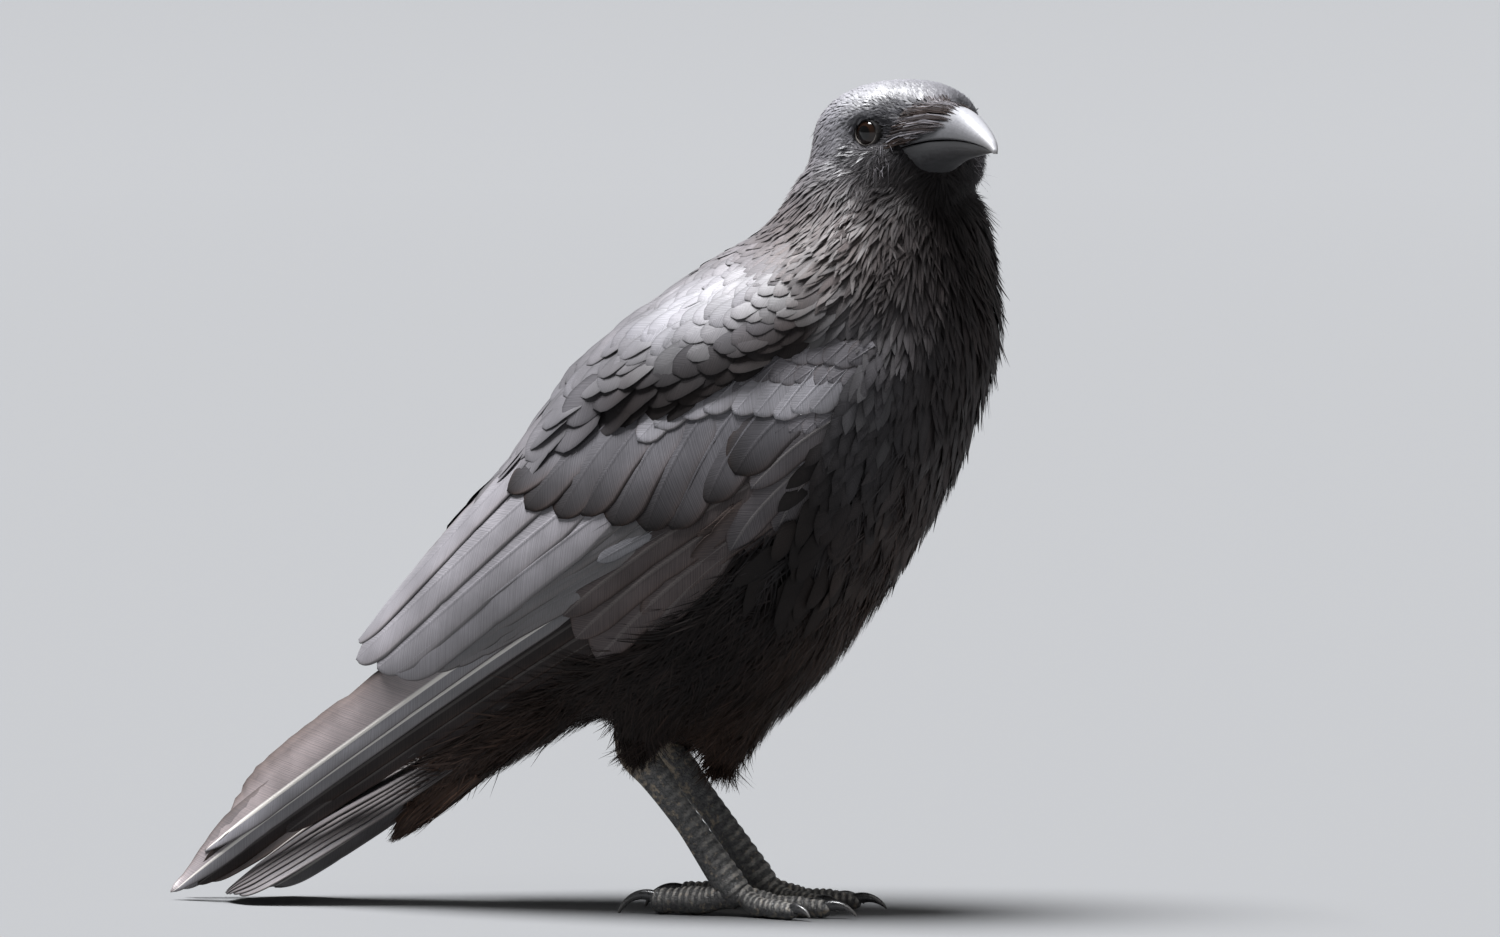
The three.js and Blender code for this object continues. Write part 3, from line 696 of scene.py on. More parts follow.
def off_wings(places, normals):
    """Which places lie in the open air, and not on the bare part of a wing."""
    keep = np.ones(len(places), bool)
    line = np.interp(places[:, 0], SCAPULAR_X, SCAPULAR_Z) + LINE_ROOM
    front = np.interp(places[:, 2], FRONT_Z, FRONT_X)
    for i, (place, normal) in enumerate(zip(places, normals)):
        spot = Vector(place)
        if place[0] <= front[i] and place[2] < line[i]:
            gap = min(tree.find_nearest(spot)[3] for tree in WINGS.values())
            keep[i] = gap > ON_WING
        if keep[i]:
            away = Vector(normal)
            hit = FORM.tree.ray_cast(spot + away * 0.5, away, OPEN_AIR)
            keep[i] = hit[0] is None
    return keep


def off_eyes(places):
    """Which places grow feathers that leave the eyes free over their whole length."""
    keep = np.ones(len(places), bool)
    way, c = COAT.at(places)
    for middle, out in eye_openings():
        for part in (0, 0.5, 1.0):
            from_eye = places + way * c["length"][:, None] * part - middle
            away = from_eye @ out
            off_axis = np.linalg.norm(from_eye - away[:, None] * out, axis=1)
            bare = EYE_BARE + (EYE_BARE_TIP - EYE_BARE) * part
            keep &= (off_axis > bare) | (away < 0)
    return keep


def off_bill(places):
    """Which places lie outside both mandibles' roots."""
    x, y, z = ((places - HEAD) @ HEAD_AXES.T).T
    upper = (x > CROWN_EDGE - CROWN_SLANT * np.abs(y)) & (z > GAPE_UP)
    deep = ramp(z, GAPE_UP, CHIN)
    half = np.interp(x, LOWER_BILL[:, 0], LOWER_BILL[:, 3]) * np.sqrt(1 - deep ** 2)
    beside = np.abs(y) < half + BILL_ROOM
    lower = (x > GAPE_AHEAD) & (z > CHIN) & (z <= GAPE_UP) & beside
    return ~(upper | lower)


def feathered(places, normals):
    """Which places on the form grow the coat's own feathers."""
    behind = places[:, 0] <= COAT_END
    return off_wings(places, normals) & off_eyes(places) & off_bill(places) & ~behind


SPACING = 0.3         # distance between feathers, as a share of the root of length times width
CLOSER = 0.15         # by how much hairy feathers stand closer than that
CANDIDATES = 6.0      # random places tried for each square that is one such distance wide


def spacing_of(places):
    """How far apart the feathers stand at each place."""
    _, c = COAT.at(places)
    closer = 1 - CLOSER * c["frizz"]
    return SPACING * np.sqrt(c["length"] * c["width"]) * closer


def candidates():
    """Random places on the form, denser where the feathers are, and the faces they lie on."""
    corners = FORM.points[np.array([f[:3] for f in FORM.faces])]
    fourth = FORM.points[np.array([f[-1] for f in FORM.faces])]
    across = np.cross(corners[:, 1] - corners[:, 0], corners[:, 2] - corners[:, 0])
    middles = (corners.sum(1) + fourth) / 4
    share = np.linalg.norm(across, axis=1) / spacing_of(middles) ** 2
    count = int(share.sum() * CANDIDATES)
    face = RNG.choice(len(share), count, p=share / share.sum())
    a, b = RNG.random((count, 1)), RNG.random((count, 1))
    start, right, far = corners[face, 0], corners[face, 1], corners[face, 2]
    places = (1 - a) * (1 - b) * start + a * (1 - b) * right
    places += a * b * far + (1 - a) * b * fourth[face]
    return places, face


def scatter():
    """Even random places on the form, with their normals.

    The candidates are taken in turn, and each one taken clears those too near to it.
    """
    places, face = candidates()
    spacing = spacing_of(places)
    tree = KDTree(len(places))
    for i, place in enumerate(places):
        tree.insert(place, i)
    tree.balance()
    alive = np.ones(len(places), bool)
    chosen = []
    for i in range(len(places)):
        if alive[i]:
            chosen.append(i)
            for _, j, _ in tree.find_range(places[i], spacing[i]):
                alive[j] = False
    chosen = np.array(chosen)
    return places[chosen], FORM.normals[face[chosen]]


# ---------------------------------------------------------------- the bake's map of the coat

# A line through the bird from under its tail to over its crown, which the map is wound round.
SPINE = np.array([
    (-140, 0, 30), (-60, 0, 115), (20, 0, 165), (58, -2, 225), (64, -10, 262), (60, -8, 300),
])
PATCH = 0.003         # size of one feather's patch on the map, as a share of it
PAST_ENDS = 0.05      # the map goes on past both ends of the line by this share of it
UPRIGHT = 0.98        # where the line is steeper than this, a cosine, its left is that of y


def unwrap(places):
    """Where each place lies along the bird's own spine, and round it, both from 0 to 1."""
    run = np.diff(SPINE, axis=0)
    length = np.linalg.norm(run, axis=1)
    begin = np.concatenate([[0], np.cumsum(length)])
    along = ((places[:, None] - SPINE[None, :-1]) * run).sum(2) / length ** 2
    spot = SPINE[:-1] + np.clip(along, 0, 1)[..., None] * run
    nearest = np.linalg.norm(places[:, None] - spot, axis=2).argmin(1)
    pick = np.arange(len(places))
    way = unit(run[nearest])
    out = places - spot[pick, nearest]
    left = np.cross(np.array([0, 0, 1.0]), way)
    left = unit(np.where(np.abs(way[:, 2:]) > UPRIGHT, (0, 1.0, 0), left))
    back = np.cross(way, left)
    angle = np.arctan2((out * left).sum(1), (out * back).sum(1)) / (2 * math.pi) + 0.5
    s = (begin[nearest] + along[pick, nearest] * length[nearest]) / begin[-1]
    s = np.clip(s, -PAST_ENDS, 1 + PAST_ENDS) / (1 + 2 * PAST_ENDS) + PAST_ENDS
    return np.stack([angle, s], 1) * 0.97 + 0.012


def patches(places, rows, columns):
    """A small patch of the bake's map for each feather, at its root's place."""
    grid = np.stack(np.meshgrid(np.linspace(0, 1, columns), np.linspace(0, 1, rows)), -1)
    return unwrap(places)[:, None, None] + (grid - 0.5) * PATCH


# ---------------------------------------------------------------- feathers of the coat


FULL_TURN = 6.28      # in radians, near enough for a random phase
CLING = 0.12          # how steeply a feather bends down to follow the form before it leaves it
CLUMP = 0.5           # how far neighbouring pointed feathers draw together, in radians
WAVES = RNG.normal(0, 0.55, (6, 3))
PHASES = RNG.uniform(0, FULL_TURN, (2, 6))


def drift(places, which):
    """A smooth random value, about 1 in size, that neighbouring feathers share."""
    return np.sin(places @ WAVES.T + PHASES[which]).sum(1) / 1.7


def paths(places, normals, lengths, steps, swirl):
    """Lines over the form that follow the lie of the coat, as places, normals and directions."""
    spots, outs, ways = [places], [normals], []
    for k in range(steps):
        way, _ = COAT.at(spots[-1])
        way = turned(flat_on(way, outs[-1]), outs[-1], swirl)
        ways.append(way)
        if k < steps - 1:
            stride = (lengths / (steps - 1))[:, None]
            ahead = spots[-1] + way * stride
            spot, out = FORM.nearest(ahead)
            over = ((ahead - spot) * outs[-1]).sum(1, keepdims=True)
            far = np.linalg.norm(ahead - spot, axis=1)[:, None]
            gone = (over > CLING * stride) | (far > stride)
            spots.append(np.where(gone, ahead - outs[-1] * CLING * stride, spot))
            out = np.where(gone, outs[-1], out)
            outs.append(unit(out + 0.6 * outs[-1]))
    return np.stack(spots, 1), np.stack(outs, 1), np.stack(ways, 1)


def outline(u, point):
    """Half width of a feather along its length, from rounded (point 0) to lance-shaped (1)."""
    rise = np.sqrt(ramp(u, 0, 0.25))
    round_end = np.sqrt(np.clip(1 - ((u - 0.55) / 0.45).clip(0) ** 2, 0.004, 1))
    lance = np.clip(1 - u ** 1.6, 0.03, 1) ** 0.8 * 1.05
    return rise * (round_end * (1 - point) + lance * point)


# What stands out or lies in shade comes and goes along the flank: _REAR and _FRONT are in x,
# _LOW and _HIGH in z, each from where it is nothing to where it is full.
SWELL = 5.5           # how far the scapulars stand out over the wing
SWELL_FROM = -2.0     # the swelling begins this far over their lower edge
SWELL_TOP = 13.0      # is full from here
SWELL_FADE = (46, 22)  # and fades between the second and the first of these heights
SWELL_REAR = (-85, -55)
SWELL_FRONT = (62, 40)
FRONT_SWELL = 3.2     # how far the feathers ahead of the wing stand out over its front
FRONT_RISE = 13.0     # over how much length they do so
FRONT_LOW = (92, 112)
FRONT_HIGH = (206, 192)
# Painted shade: over these heights and along the flank the scapulars' painted sheen is darkened,
# where their mass turns down away from the light.
SHADE_RISE = 31.0     # the scapulars are darker up to this height over their lower edge
SHADE = 0.97          # by how much, at that edge
SHADE_REAR = (-60, -30)
SHADE_FRONT = (54, 36)


def over_edge(places):
    """The height of each place over the scapulars' lower edge."""
    return places[..., 2] - np.interp(places[..., 0], SCAPULAR_X, SCAPULAR_Z)


def swelling(places):
    """How far the feathers stand out at each place because those beneath push them up."""
    x, z = places[..., 0], places[..., 2]
    over = over_edge(places)
    up = np.sin(ramp(over, SWELL_FROM, SWELL_TOP) * math.pi / 2)
    top = eased(ramp(over, *SWELL_FADE))
    swell = SWELL * up * top * ramp(x, *SWELL_REAR) * ramp(x, *SWELL_FRONT)
    ahead = x - np.interp(z, FRONT_Z, FRONT_X)
    near = eased(np.clip(1.3 - np.abs(ahead - FRONT_RISE * 0.6) / FRONT_RISE, 0, 1))
    return swell + FRONT_SWELL * near * ramp(z, *FRONT_LOW) * ramp(z, *FRONT_HIGH)


def shaded(places):
    """What is left of the painted sheen at each place, as painted shade on the underside of the
    scapulars' mass.
    """
    x = places[..., 0]
    up = ramp(over_edge(places), 0, SHADE_RISE)
    return 1 - (1 - up ** 2) * ramp(x, *SHADE_REAR) * ramp(x, *SHADE_FRONT) * SHADE


# From which to which share of the given length and lift the single feathers have.
VANE_LENGTHS = (0.82, 1.15)
VANE_LIFTS = (0.5, 1.5)
STRAND_LENGTHS = (0.6, 1.15)
STRAND_LIFTS = (0.1, 1.6)
STRAND_ROWS = 5
CAMBER = 0.06         # a vane's arch from side to side, as a share of its half width
# Painted shade along each vane's sides and round its tip stands in for the shade between overlapping
# feathers.
TIP_RIM = 0.93        # the dark rim round the tip begins this far along


def vanes(grids, places, normals, c, rows, columns, bury):
    """Adds one curved vane for each place: buried at its root, its tip over the next ones."""
    n = len(places)
    swirl = RNG.normal(0, 0.08 + 0.16 * c["frizz"] + 0.06 * c["point"], n)
    swirl = swirl + CLUMP * c["point"] ** 2 * drift(places, 0) * 0.5
    lengths = c["length"] * RNG.uniform(*VANE_LENGTHS, n)
    spot, out, way = paths(places, normals, lengths, rows, swirl)
    u = np.linspace(0, 1, rows)[None]
    narrow = c["width"][:, None] / 2 * outline(u, c["point"][:, None])
    half = narrow[:, :, None, None]
    f = np.linspace(-1, 1, columns)
    f = (np.sign(f) * np.abs(f) ** 0.6)[None, None, :, None]
    side = np.cross(out, way)[:, :, None]
    lift = c["lift"] * RNG.uniform(*VANE_LIFTS, n) * (1 + 0.5 * c["point"] * drift(places, 1))
    height = -bury[:, None] * (1 - u) ** 1.5 + lift[:, None] * u ** 2.5 + swelling(spot)
    roll = RNG.normal(0, 0.08, n)[:, None, None, None]
    camber = CAMBER * half * (1 - f ** 2) + roll * f * half
    points = spot[:, :, None] + side * f * half
    points = points + out[:, :, None] * (height[:, :, None, None] + camber)
    along = lengths[:, None, None] * u[:, :, None]
    from_shaft = np.abs(f[..., 0])
    barb = along - from_shaft * narrow[:, :, None] * 1.2 + places[:, :1, None] * 7
    # Painted shade at the vane's rim.
    edge = np.maximum(from_shaft ** 9, np.clip((u[:, :, None] - TIP_RIM) * 14, 0, 1))
    edge = edge * (0.55 if columns > 3 else 0.35)
    # Painted sheen, darkened by the painted shade under the scapulars.
    grids.add(
        points, patches(places, rows, columns),
        worn=c["worn"] * 0.75 + RNG.random(n) * 0.4 * c["worn"],
        pale=c["pale"][:, None, None] * shaded(points), tone=RNG.random(n), barb=barb, edge=edge,
    )


def tufts(grids, places, normals, c, strands, bury):
    """Adds a fan of hair-like barbs for each place."""
    n, rows = len(places), STRAND_ROWS
    u = np.linspace(0, 1, rows)[None]
    for _ in range(strands):
        swirl = RNG.normal(0, 0.22, n) + 0.3 * drift(places, 0)
        lengths = c["length"] * RNG.uniform(*STRAND_LENGTHS, n)
        shift = RNG.normal(0, 0.22, (n, 3)) * c["width"][:, None]
        start = places + shift - normals * (shift * normals).sum(1, keepdims=True)
        spot, out, way = paths(start, normals, lengths, rows, swirl)
        thick = (c["width"] * 0.07 + 0.1)[:, None] * (1.05 - u) * RNG.uniform(0.7, 1.3, (n, 1))
        side = np.cross(out, way)
        lift = c["lift"] * RNG.uniform(*STRAND_LIFTS, n)
        height = -bury[:, None] * (1 - u) ** 1.5 + lift[:, None] * u ** 2
        height = height + RNG.uniform(-0.5, 0.5, (n, 1)) * np.sin(math.pi * u)
        middle = spot + out * height[..., None]
        edge = (side + out * RNG.normal(0, 0.3, (n, 1, 1))) * thick[..., None]
        points = np.stack([middle - edge, middle + edge], 2)
        grids.add(
            points, patches(places, rows, 2), worn=c["worn"] * RNG.uniform(0.5, 1.2, n),
            pale=c["pale"], tone=RNG.random(n), barb=RNG.random(n) * 50,
        )


# ---------------------------------------------------------------- skin

SKIN_DEPTH = (1.0, 3.6)  # how deep the skin lies on the face and under the loosest feathers
SKIN_PAINTED_SHEEN = 0.5       # how much of the feathers' sheen the skin has


def depth_at(columns):
    """How deep the skin lies under feathers with these columns."""
    loose = np.maximum(columns["frizz"], columns["point"])
    return np.clip(columns["length"] * (0.08 + 0.1 * loose), *SKIN_DEPTH)


def add_under(name, points, faces, values, material, nodes):
    """One closed mesh under the feathers, in place of CAD nodes."""
    mesh = bpy.data.meshes.new(name)
    mesh.from_pydata(((points + ORIGIN) * MM).tolist(), [], faces)
    add_piece(name, mesh, values, material, nodes)


def add_skin(material):
    points, normals, faces = form_of(FLESH)
    _, c = COAT.at(points)
    # The skin takes a share of the feathers' painted sheen.
    c["pale"] = c["pale"] * SKIN_PAINTED_SHEEN
    points = points - normals * depth_at(c)[:, None]
    add_under("skin", points, faces, c, material, FLESH)


# ---------------------------------------------------------------- feather materials

BLACK = (0.0045, 0.0042, 0.0048)
SHAFT = (0.62, 0.59, 0.55)
# Painted sheen: the pale colour that stands in for the overhead light's sheen on the black feathers.
PAINTED_SHEEN = (0.2, 0.197, 0.217)
BROWN = (0.13, 0.078, 0.056)
BARB_SCALE = 2.6      # of the noise along `barb` that draws the barbs
CLOUD_SCALE = 60      # of the noise that makes whole areas a little lighter or darker


def feather_material(name, roughness, specular):
    """Paler with painted sheen, browner where it is worn, with fine barbs and painted shade along
    the rim.
    """
    look = Look(name)
    streak = look.noise(BARB_SCALE, 3.0, look.attribute("barb"))
    # Painted sheen: paler where the light from above would shine on the feathers.
    colour = look.mix(look.attribute("pale"), BLACK, PAINTED_SHEEN)
    worn = look.times(look.attribute("worn"), look.spread(streak, *NOISE, 0.7, 1.1))
    colour = look.mix(worn, colour, BROWN)
    shade = look.spread(streak, *NOISE, 0.62, 1.38)
    for part in (
        look.spread(look.attribute("tone"), 0, 1, 0.84, 1.16),
        look.spread(look.noise(CLOUD_SCALE, 3.0), *NOISE, 0.78, 1.22),
        look.spread(look.attribute("edge"), 0, 1, 1.0, 0.2),
    ):
        shade = look.times(shade, part)
    grey = look.node("CombineColor", {0: shade, 1: shade, 2: shade})
    colour = look.mix(1.0, colour, grey, "MULTIPLY")
    colour = look.mix(look.attribute("shaft"), colour, SHAFT)
    look.bump(streak, 0.3)
    rough = look.spread(streak, *NOISE, roughness - 0.06, roughness + 0.06)
    return look.surface(colour, rough, specular)


LARGE = 7             # feathers wider than this are large ones
HEAD_LONGEST = 7.5    # feathers shorter than this belong to the head
HEAD_LOWEST = -40     # if they grow above this height, in head places
DOWN_MIDDLE = 15      # hairy feathers ahead of here are one piece and those behind it another
# Feathers with more painted sheen than these limits, after the painted shade under the scapulars, go
# to the glossy pieces and the rest to the dull ones.
GLOSS = 0.2           # large feathers paler than this are glossy
GLOSS_SPAN = (0.1, 0.3)    # and small ones paler than a random limit between these
HAIRY_SPAN = (0.25, 0.75)  # feathers more hairy than one between these are tufts
BURIED = 0.85         # a feather's root lies at this share of the skin's depth
# A feather's rows and columns, and the strands of a hairy one.
LARGE_GRID = (10, 7)
SMALL_GRID = (6, 3)
TUFT_STRANDS = 7


def coat_groups(places, c):
    """Which feathers belong to each piece of the coat."""
    hairy = c["frizz"] > RNG.uniform(*HAIRY_SPAN, len(places))
    large = ~hairy & (c["width"] > LARGE)
    small = ~hairy & ~large
    limit = np.where(large, GLOSS, RNG.uniform(*GLOSS_SPAN, len(places)))
    glossy = c["pale"] * shaded(places) > limit
    local = (places - HEAD) @ HEAD_AXES.T
    on_head = (c["length"] < HEAD_LONGEST) & (local[:, 2] > HEAD_LOWEST)
    return {
        "coat_head": small & on_head & glossy,
        "coat_neck": small & ~on_head & glossy,
        "coat_dull": small & ~glossy,
        "coat_back": large & glossy,
        "coat_flank": large & ~glossy,
        "coat_down_front": hairy & (places[:, 0] > DOWN_MIDDLE),
        "coat_down_rear": hairy & (places[:, 0] <= DOWN_MIDDLE),
    }


def add_coat(material, neck_material, dull_material):
    chosen = {"coat_head": material, "coat_back": material, "coat_neck": neck_material}
    places, normals = scatter()
    keep = feathered(places, normals)
    places, normals = places[keep], normals[keep]
    _, c = COAT.at(places)
    for name, members in coat_groups(places, c).items():
        grids = Grids()
        some = {key: value[members] for key, value in c.items()}
        where = (places[members], normals[members], some)
        bury = depth_at(some) * BURIED
        if "down" in name:
            tufts(grids, *where, TUFT_STRANDS, bury)
        else:
            grid = LARGE_GRID if name in ("coat_back", "coat_flank") else SMALL_GRID
            vanes(grids, *where, *grid, bury)
        grids.build(name, chosen.get(name, dull_material), "body_feather")


# ---------------------------------------------------------------- feathers of the wings and tail

# The webs of a feather from the inner edge, -1, over the shaft, 0, to the outer edge, 1.
WEB = np.array([-1, -0.82, -0.58, -0.32, -0.085, -0.045, 0, 0.06, 0.13, 0.35, 0.65, 0.86, 1])
VANE_THICK = 0.3
CHORD = 4             # a vane's direction is taken over this many rows each way
ROW_STEP = 2.6        # about how far a feather's rows are apart
ROW_LIMITS = (11, 52)
SAG_LIMITS = (-2, 3)  # how far a vane may be bent up and down to lie on the surface
SHAFT_HALF = 0.07     # the shaft takes up this share of the webs
INNER_WEB = WEB < -0.05
SPLITS = 3            # in each web of a feather, if they are deep enough to show
SPLIT_PLACES = (0.35, 1.0)
SPLIT_WIDTHS = (0.02, 0.05)


class Atlas:
    """The bake's map of large feathers: a strip of its own for each, its top beside its back."""

    def __init__(self, total):
        self.columns = math.ceil(math.sqrt(total * 2))
        self.rows = math.ceil(total / self.columns)
        self.used = 0

    def take(self, n, rows, columns):
        """The next n strips, with one more column than the vane's ring has."""
        cell = np.arange(self.used, self.used + n)
        self.used += n
        x, y = cell % self.columns, cell // self.columns
        half = np.linspace(0, 1, columns)
        across = np.concatenate([0.04 + 0.42 * half, 0.5 + 0.42 * half, [0.96]])
        along = 0.03 + 0.94 * np.linspace(0, 1, rows)
        u = np.broadcast_to(x[:, None, None] + across, (n, rows, 2 * columns + 1))
        v = np.broadcast_to(y[:, None, None] + along[:, None], u.shape)
        return np.stack([u / self.columns, v / self.rows], -1)


def evenly(line, n):
    """n places spread over a list of places, the same number between each two of them."""
    line = np.array(line, float)
    at = np.linspace(0, len(line) - 1, n)
    return np.stack([np.interp(at, np.arange(len(line)), line[:, k]) for k in range(2)], 1)


def softened(values, times):
    """Smooths along the second axis, with the ends held."""
    for _ in range(times):
        inner = (values[:, :-2] + 2 * values[:, 1:-1] + values[:, 2:]) / 4
        values = np.concatenate([values[:, :1], inner, values[:, -1:]], 1)
    return values


def nicks(n, u, depth):
    """What is left of a web's width after a few splits between its barbs."""
    width = np.ones((n, len(u)))
    for _ in range(SPLITS):
        at = RNG.uniform(*SPLIT_PLACES, (n, 1))
        deep = RNG.uniform(0, depth, (n, 1))
        wide = RNG.uniform(*SPLIT_WIDTHS, (n, 1))
        width -= deep * np.clip(1 - np.abs(u - at) / wide, 0, 1)
    return width


def shafts(drape, roots, tips, count, bow, loose):
    """A row of lines over a surface, from the roots of feathers to their tips.

    They come as their lengths, where their rows lie from 0 to 1, and the rows' places, normals
    and directions to the side.
    """
    start, finish = evenly(roots, count), evenly(tips, count)
    apart = np.linalg.norm(finish - start, axis=1, keepdims=True)
    finish = finish + RNG.normal(0, 1, (count, 2)) * loose * apart
    run = finish - start
    length = np.linalg.norm(run, axis=1)
    rows = int(np.clip(length.max() / ROW_STEP, *ROW_LIMITS))
    u = 1 - (1 - np.linspace(0, 1, rows)) ** 1.35
    normal = np.stack([-run[:, 1], run[:, 0]], 1) / length[:, None]
    arch = (bow * 4 * u * (1 - u))[None, :, None] * normal[:, None]
    line = start[:, None] + run[:, None] * u[:, None] + arch
    spot, out = (a.reshape(count, rows, 3) for a in drape(line.reshape(-1, 2)))
    spot, out = softened(spot, 6), unit(softened(out, 8))
    ends = np.clip(np.arange(rows)[:, None] + (-CHORD, CHORD), 0, rows - 1)
    ends[-CHORD:] = (rows - 1 - 2 * CHORD, rows - 1)
    chord = spot[:, ends[:, 1]] - spot[:, ends[:, 0]]
    way = unit(softened(flat_on(chord, out), 4))
    return length, u, spot, out, np.cross(out, way)


def webs(length, u, outer, inner, end, blunt, ragged):
    """How far each place of a vane lies from the shaft, and the share of its full width."""
    tip = np.clip((u * length[:, None] - (length[:, None] - end)) / end, 0, 1)
    width = (1 - tip ** blunt).clip(0) ** (1 / blunt) * (0.45 + 0.55 * ramp(u, 0, 0.2) ** 0.7)
    width = width.clip(0.03)[..., None]
    inside = nicks(len(length), u, ragged)[..., None]
    outside = nicks(len(length), u, ragged * 0.6)[..., None]
    return np.where(WEB < 0, WEB * inner * inside, WEB * outer * outside) * width, width


def heights(u, along, width, rise, tilt, ripple):
    """How far each place of a vane stands over the surface that it lies on."""
    phase = RNG.uniform(0, FULL_TURN, (len(along), 1, 1))
    height = rise[0] + (rise[1] - rise[0]) * u ** 0.8 + tilt * WEB * width
    height = height + 0.25 * (1 - WEB ** 2) - 0.12 * np.abs(WEB) ** 6
    height = height + 0.35 * (WEB == 0) * (1.2 - u)
    height = height + 0.1 * np.sin(along / 9 + phase) * WEB
    waves = np.sin(along * 0.75 + WEB * 3 + phase) + 0.6 * np.sin(along * 1.9 + phase)
    return height + ripple * waves * np.clip(-WEB, 0, 1) * u


def quills(
    grids, atlas, drape, settle, roots, tips, count, outer, inner, rise,
    tilt=0.5, end=12.0, blunt=2.0, bow=0.0, ripple=0.0, ragged=0.12, loose=0.0,
    pale=(0.8, 0.8), painted_sheen_inside=0.0, worn=0.1, worn_inside=0.0, worn_edge=0.25, shaft=0.0,
):
    """Adds a row of feathers, each over the next, as thin closed vanes with a raised shaft.

    `outer` and `inner` are the webs' widths and `rise` the heights of root and tip over the
    surface. `tilt` lifts the outer web and sinks the inner one under the feather before.
    """
    length, u, spot, out, side = shafts(drape, roots, tips, count, bow, loose)
    web, width = webs(length, u, outer, inner, end, blunt, ragged)
    flat = spot[:, :, None] + side[:, :, None] * web[..., None]
    under, _ = settle(flat.reshape(-1, 3))
    sag = ((flat - under.reshape(flat.shape)) * out[:, :, None]).sum(-1)
    sag = softened(np.clip(sag, *SAG_LIMITS), 4)
    along = (u * length[:, None])[..., None]
    u = u[None, :, None]
    height = heights(u, along, width, rise, tilt, ripple)
    top = flat + out[:, :, None] * (height - sag)[..., None]
    back = top - out[:, :, None] * VANE_THICK
    values = {
        "barb": along - np.abs(web) * 0.9 + RNG.uniform(0, 500, (count, 1, 1)),
        "worn": worn + worn_inside * INNER_WEB * ramp(u, 0, 0.5) + worn_edge * np.abs(WEB) ** 5,
        "shaft": shaft * (np.abs(WEB) < SHAFT_HALF),
        # Painted sheen: a paler colour standing in for the light from above. It changes from root to
        # tip and is added on the inner web where given.
        "pale": pale[0] + (pale[1] - pale[0]) * u + painted_sheen_inside * INNER_WEB,
        # Painted shade along the vane's sides, where the feathers overlap.
        "edge": 0.8 * np.abs(WEB) ** 14,
    }
    for name, value in values.items():
        value = value * np.ones(web.shape)
        values[name] = np.concatenate([value, value[..., ::-1]], 2)
    grids.add(
        np.concatenate([top, back[:, :, ::-1]], 2), atlas.take(*web.shape), ring=True,
        tone=RNG.random(count), **values,
    )


# The folded right wing as rows of feathers. Roots and tips are x and z on the flank.
TERTIALS = dict(
    roots=[(-56, 174), (-48, 163), (-38, 154), (-31, 147)],
    tips=[(-139, 93), (-137, 87), (-127, 85), (-120, 84)],
    count=4, outer=9, inner=11, rise=(0.8, 2.0), tilt=0.5, end=16, pale=(0.95, 0.85), worn=0.12,
)
SECONDARIES = dict(
    roots=[(-24, 146), (-17, 140), (-10, 135)],
    tips=[(-120, 87), (-115, 86), (-110, 86), (-103, 88), (-95, 92)],
    count=6, outer=5.5, inner=9, rise=(0.6, 1.4), tilt=0.55, end=11, pale=(0.18, 0.3), worn=0.05,
    ragged=0.3,
)
FIRST_PRIMARY = dict(
    roots=[(-24, 131)], tips=[(-199, 17)], count=1, outer=4.5, inner=15, rise=(-0.5, 1.2), tilt=0.2,
    end=30, blunt=1.7, bow=-3, pale=(0.4, 0.8), painted_sheen_inside=0.7, worn=0.05, worn_inside=0.45,
    shaft=1.0, ripple=0.8,
)
SECOND_PRIMARY = dict(
    roots=[(-22, 126)], tips=[(-213, 2.5)], count=1, outer=4, inner=11, rise=(-0.8, 0.1), tilt=0.3,
    end=34, blunt=1.7, bow=-3, pale=(0.3, 0.6), painted_sheen_inside=0.4, worn=0.05, worn_inside=0.35,
    shaft=0.85, ripple=0.2,
)
OTHER_PRIMARIES = dict(
    roots=[(-20, 121), (-17, 116), (-14, 112), (-12, 108)],
    tips=[(-203, 5), (-167, 24), (-120, 51), (-86, 67)],
    count=4, outer=4.5, inner=8, rise=(-0.3, -0.9), tilt=0.4, end=24, blunt=1.8, bow=-2.5,
    pale=(0.02, 0.06), worn=0.08, shaft=0.06,
)
PRIMARY_COVERTS = dict(
    roots=[(44, 168), (44, 160), (40, 153), (30, 145)],
    tips=[(-51, 106), (-48, 98), (-42, 91), (-22, 101), (-3, 113)],
    count=5, outer=6, inner=12, rise=(0.2, 1.4), tilt=0.5, end=16, blunt=1.8, bow=-3,
    pale=(0.22, 0.2), worn=0.2, shaft=0.05, loose=0.01,
)
GREATER_COVERTS = dict(
    roots=[
        (-43, 172), (-33, 176), (-24, 180), (-14, 181), (-2, 182), (10, 182), (21, 182), (33, 182),
    ],
    tips=[
        (-76, 147), (-64, 142), (-52, 139), (-39, 142), (-26, 136), (-13, 137), (-1, 145), (12, 157),
    ],
    count=9, outer=9.5, inner=9.5, rise=(0.3, 2.0), tilt=0.45, end=13, bow=-2, pale=(0.6, 0),
    worn=0.03, loose=0.02,
)
MEDIAN_COVERTS = dict(
    roots=[(-8, 186), (2, 190), (12, 193), (24, 194), (35, 195), (44, 195), (50, 194)],
    tips=[(-24, 167), (-13, 173), (-2, 177), (11, 177), (22, 176), (30, 178), (38, 178)],
    count=9, outer=6.2, inner=6.2, rise=(0.4, 1.7), tilt=0.25, end=8, pale=(1.0, 0.8), worn=0.05,
    loose=0.03,
)
ALULA = dict(
    roots=[(58, 183), (54, 175), (50, 168)], tips=[(17, 152), (8, 131), (24, 137)],
    count=3, outer=6, inner=7, rise=(0.4, 1.7), tilt=0.4, end=14, blunt=1.8, bow=-3,
    pale=(0.32, 0.3), worn=0.1, shaft=0.08,
)
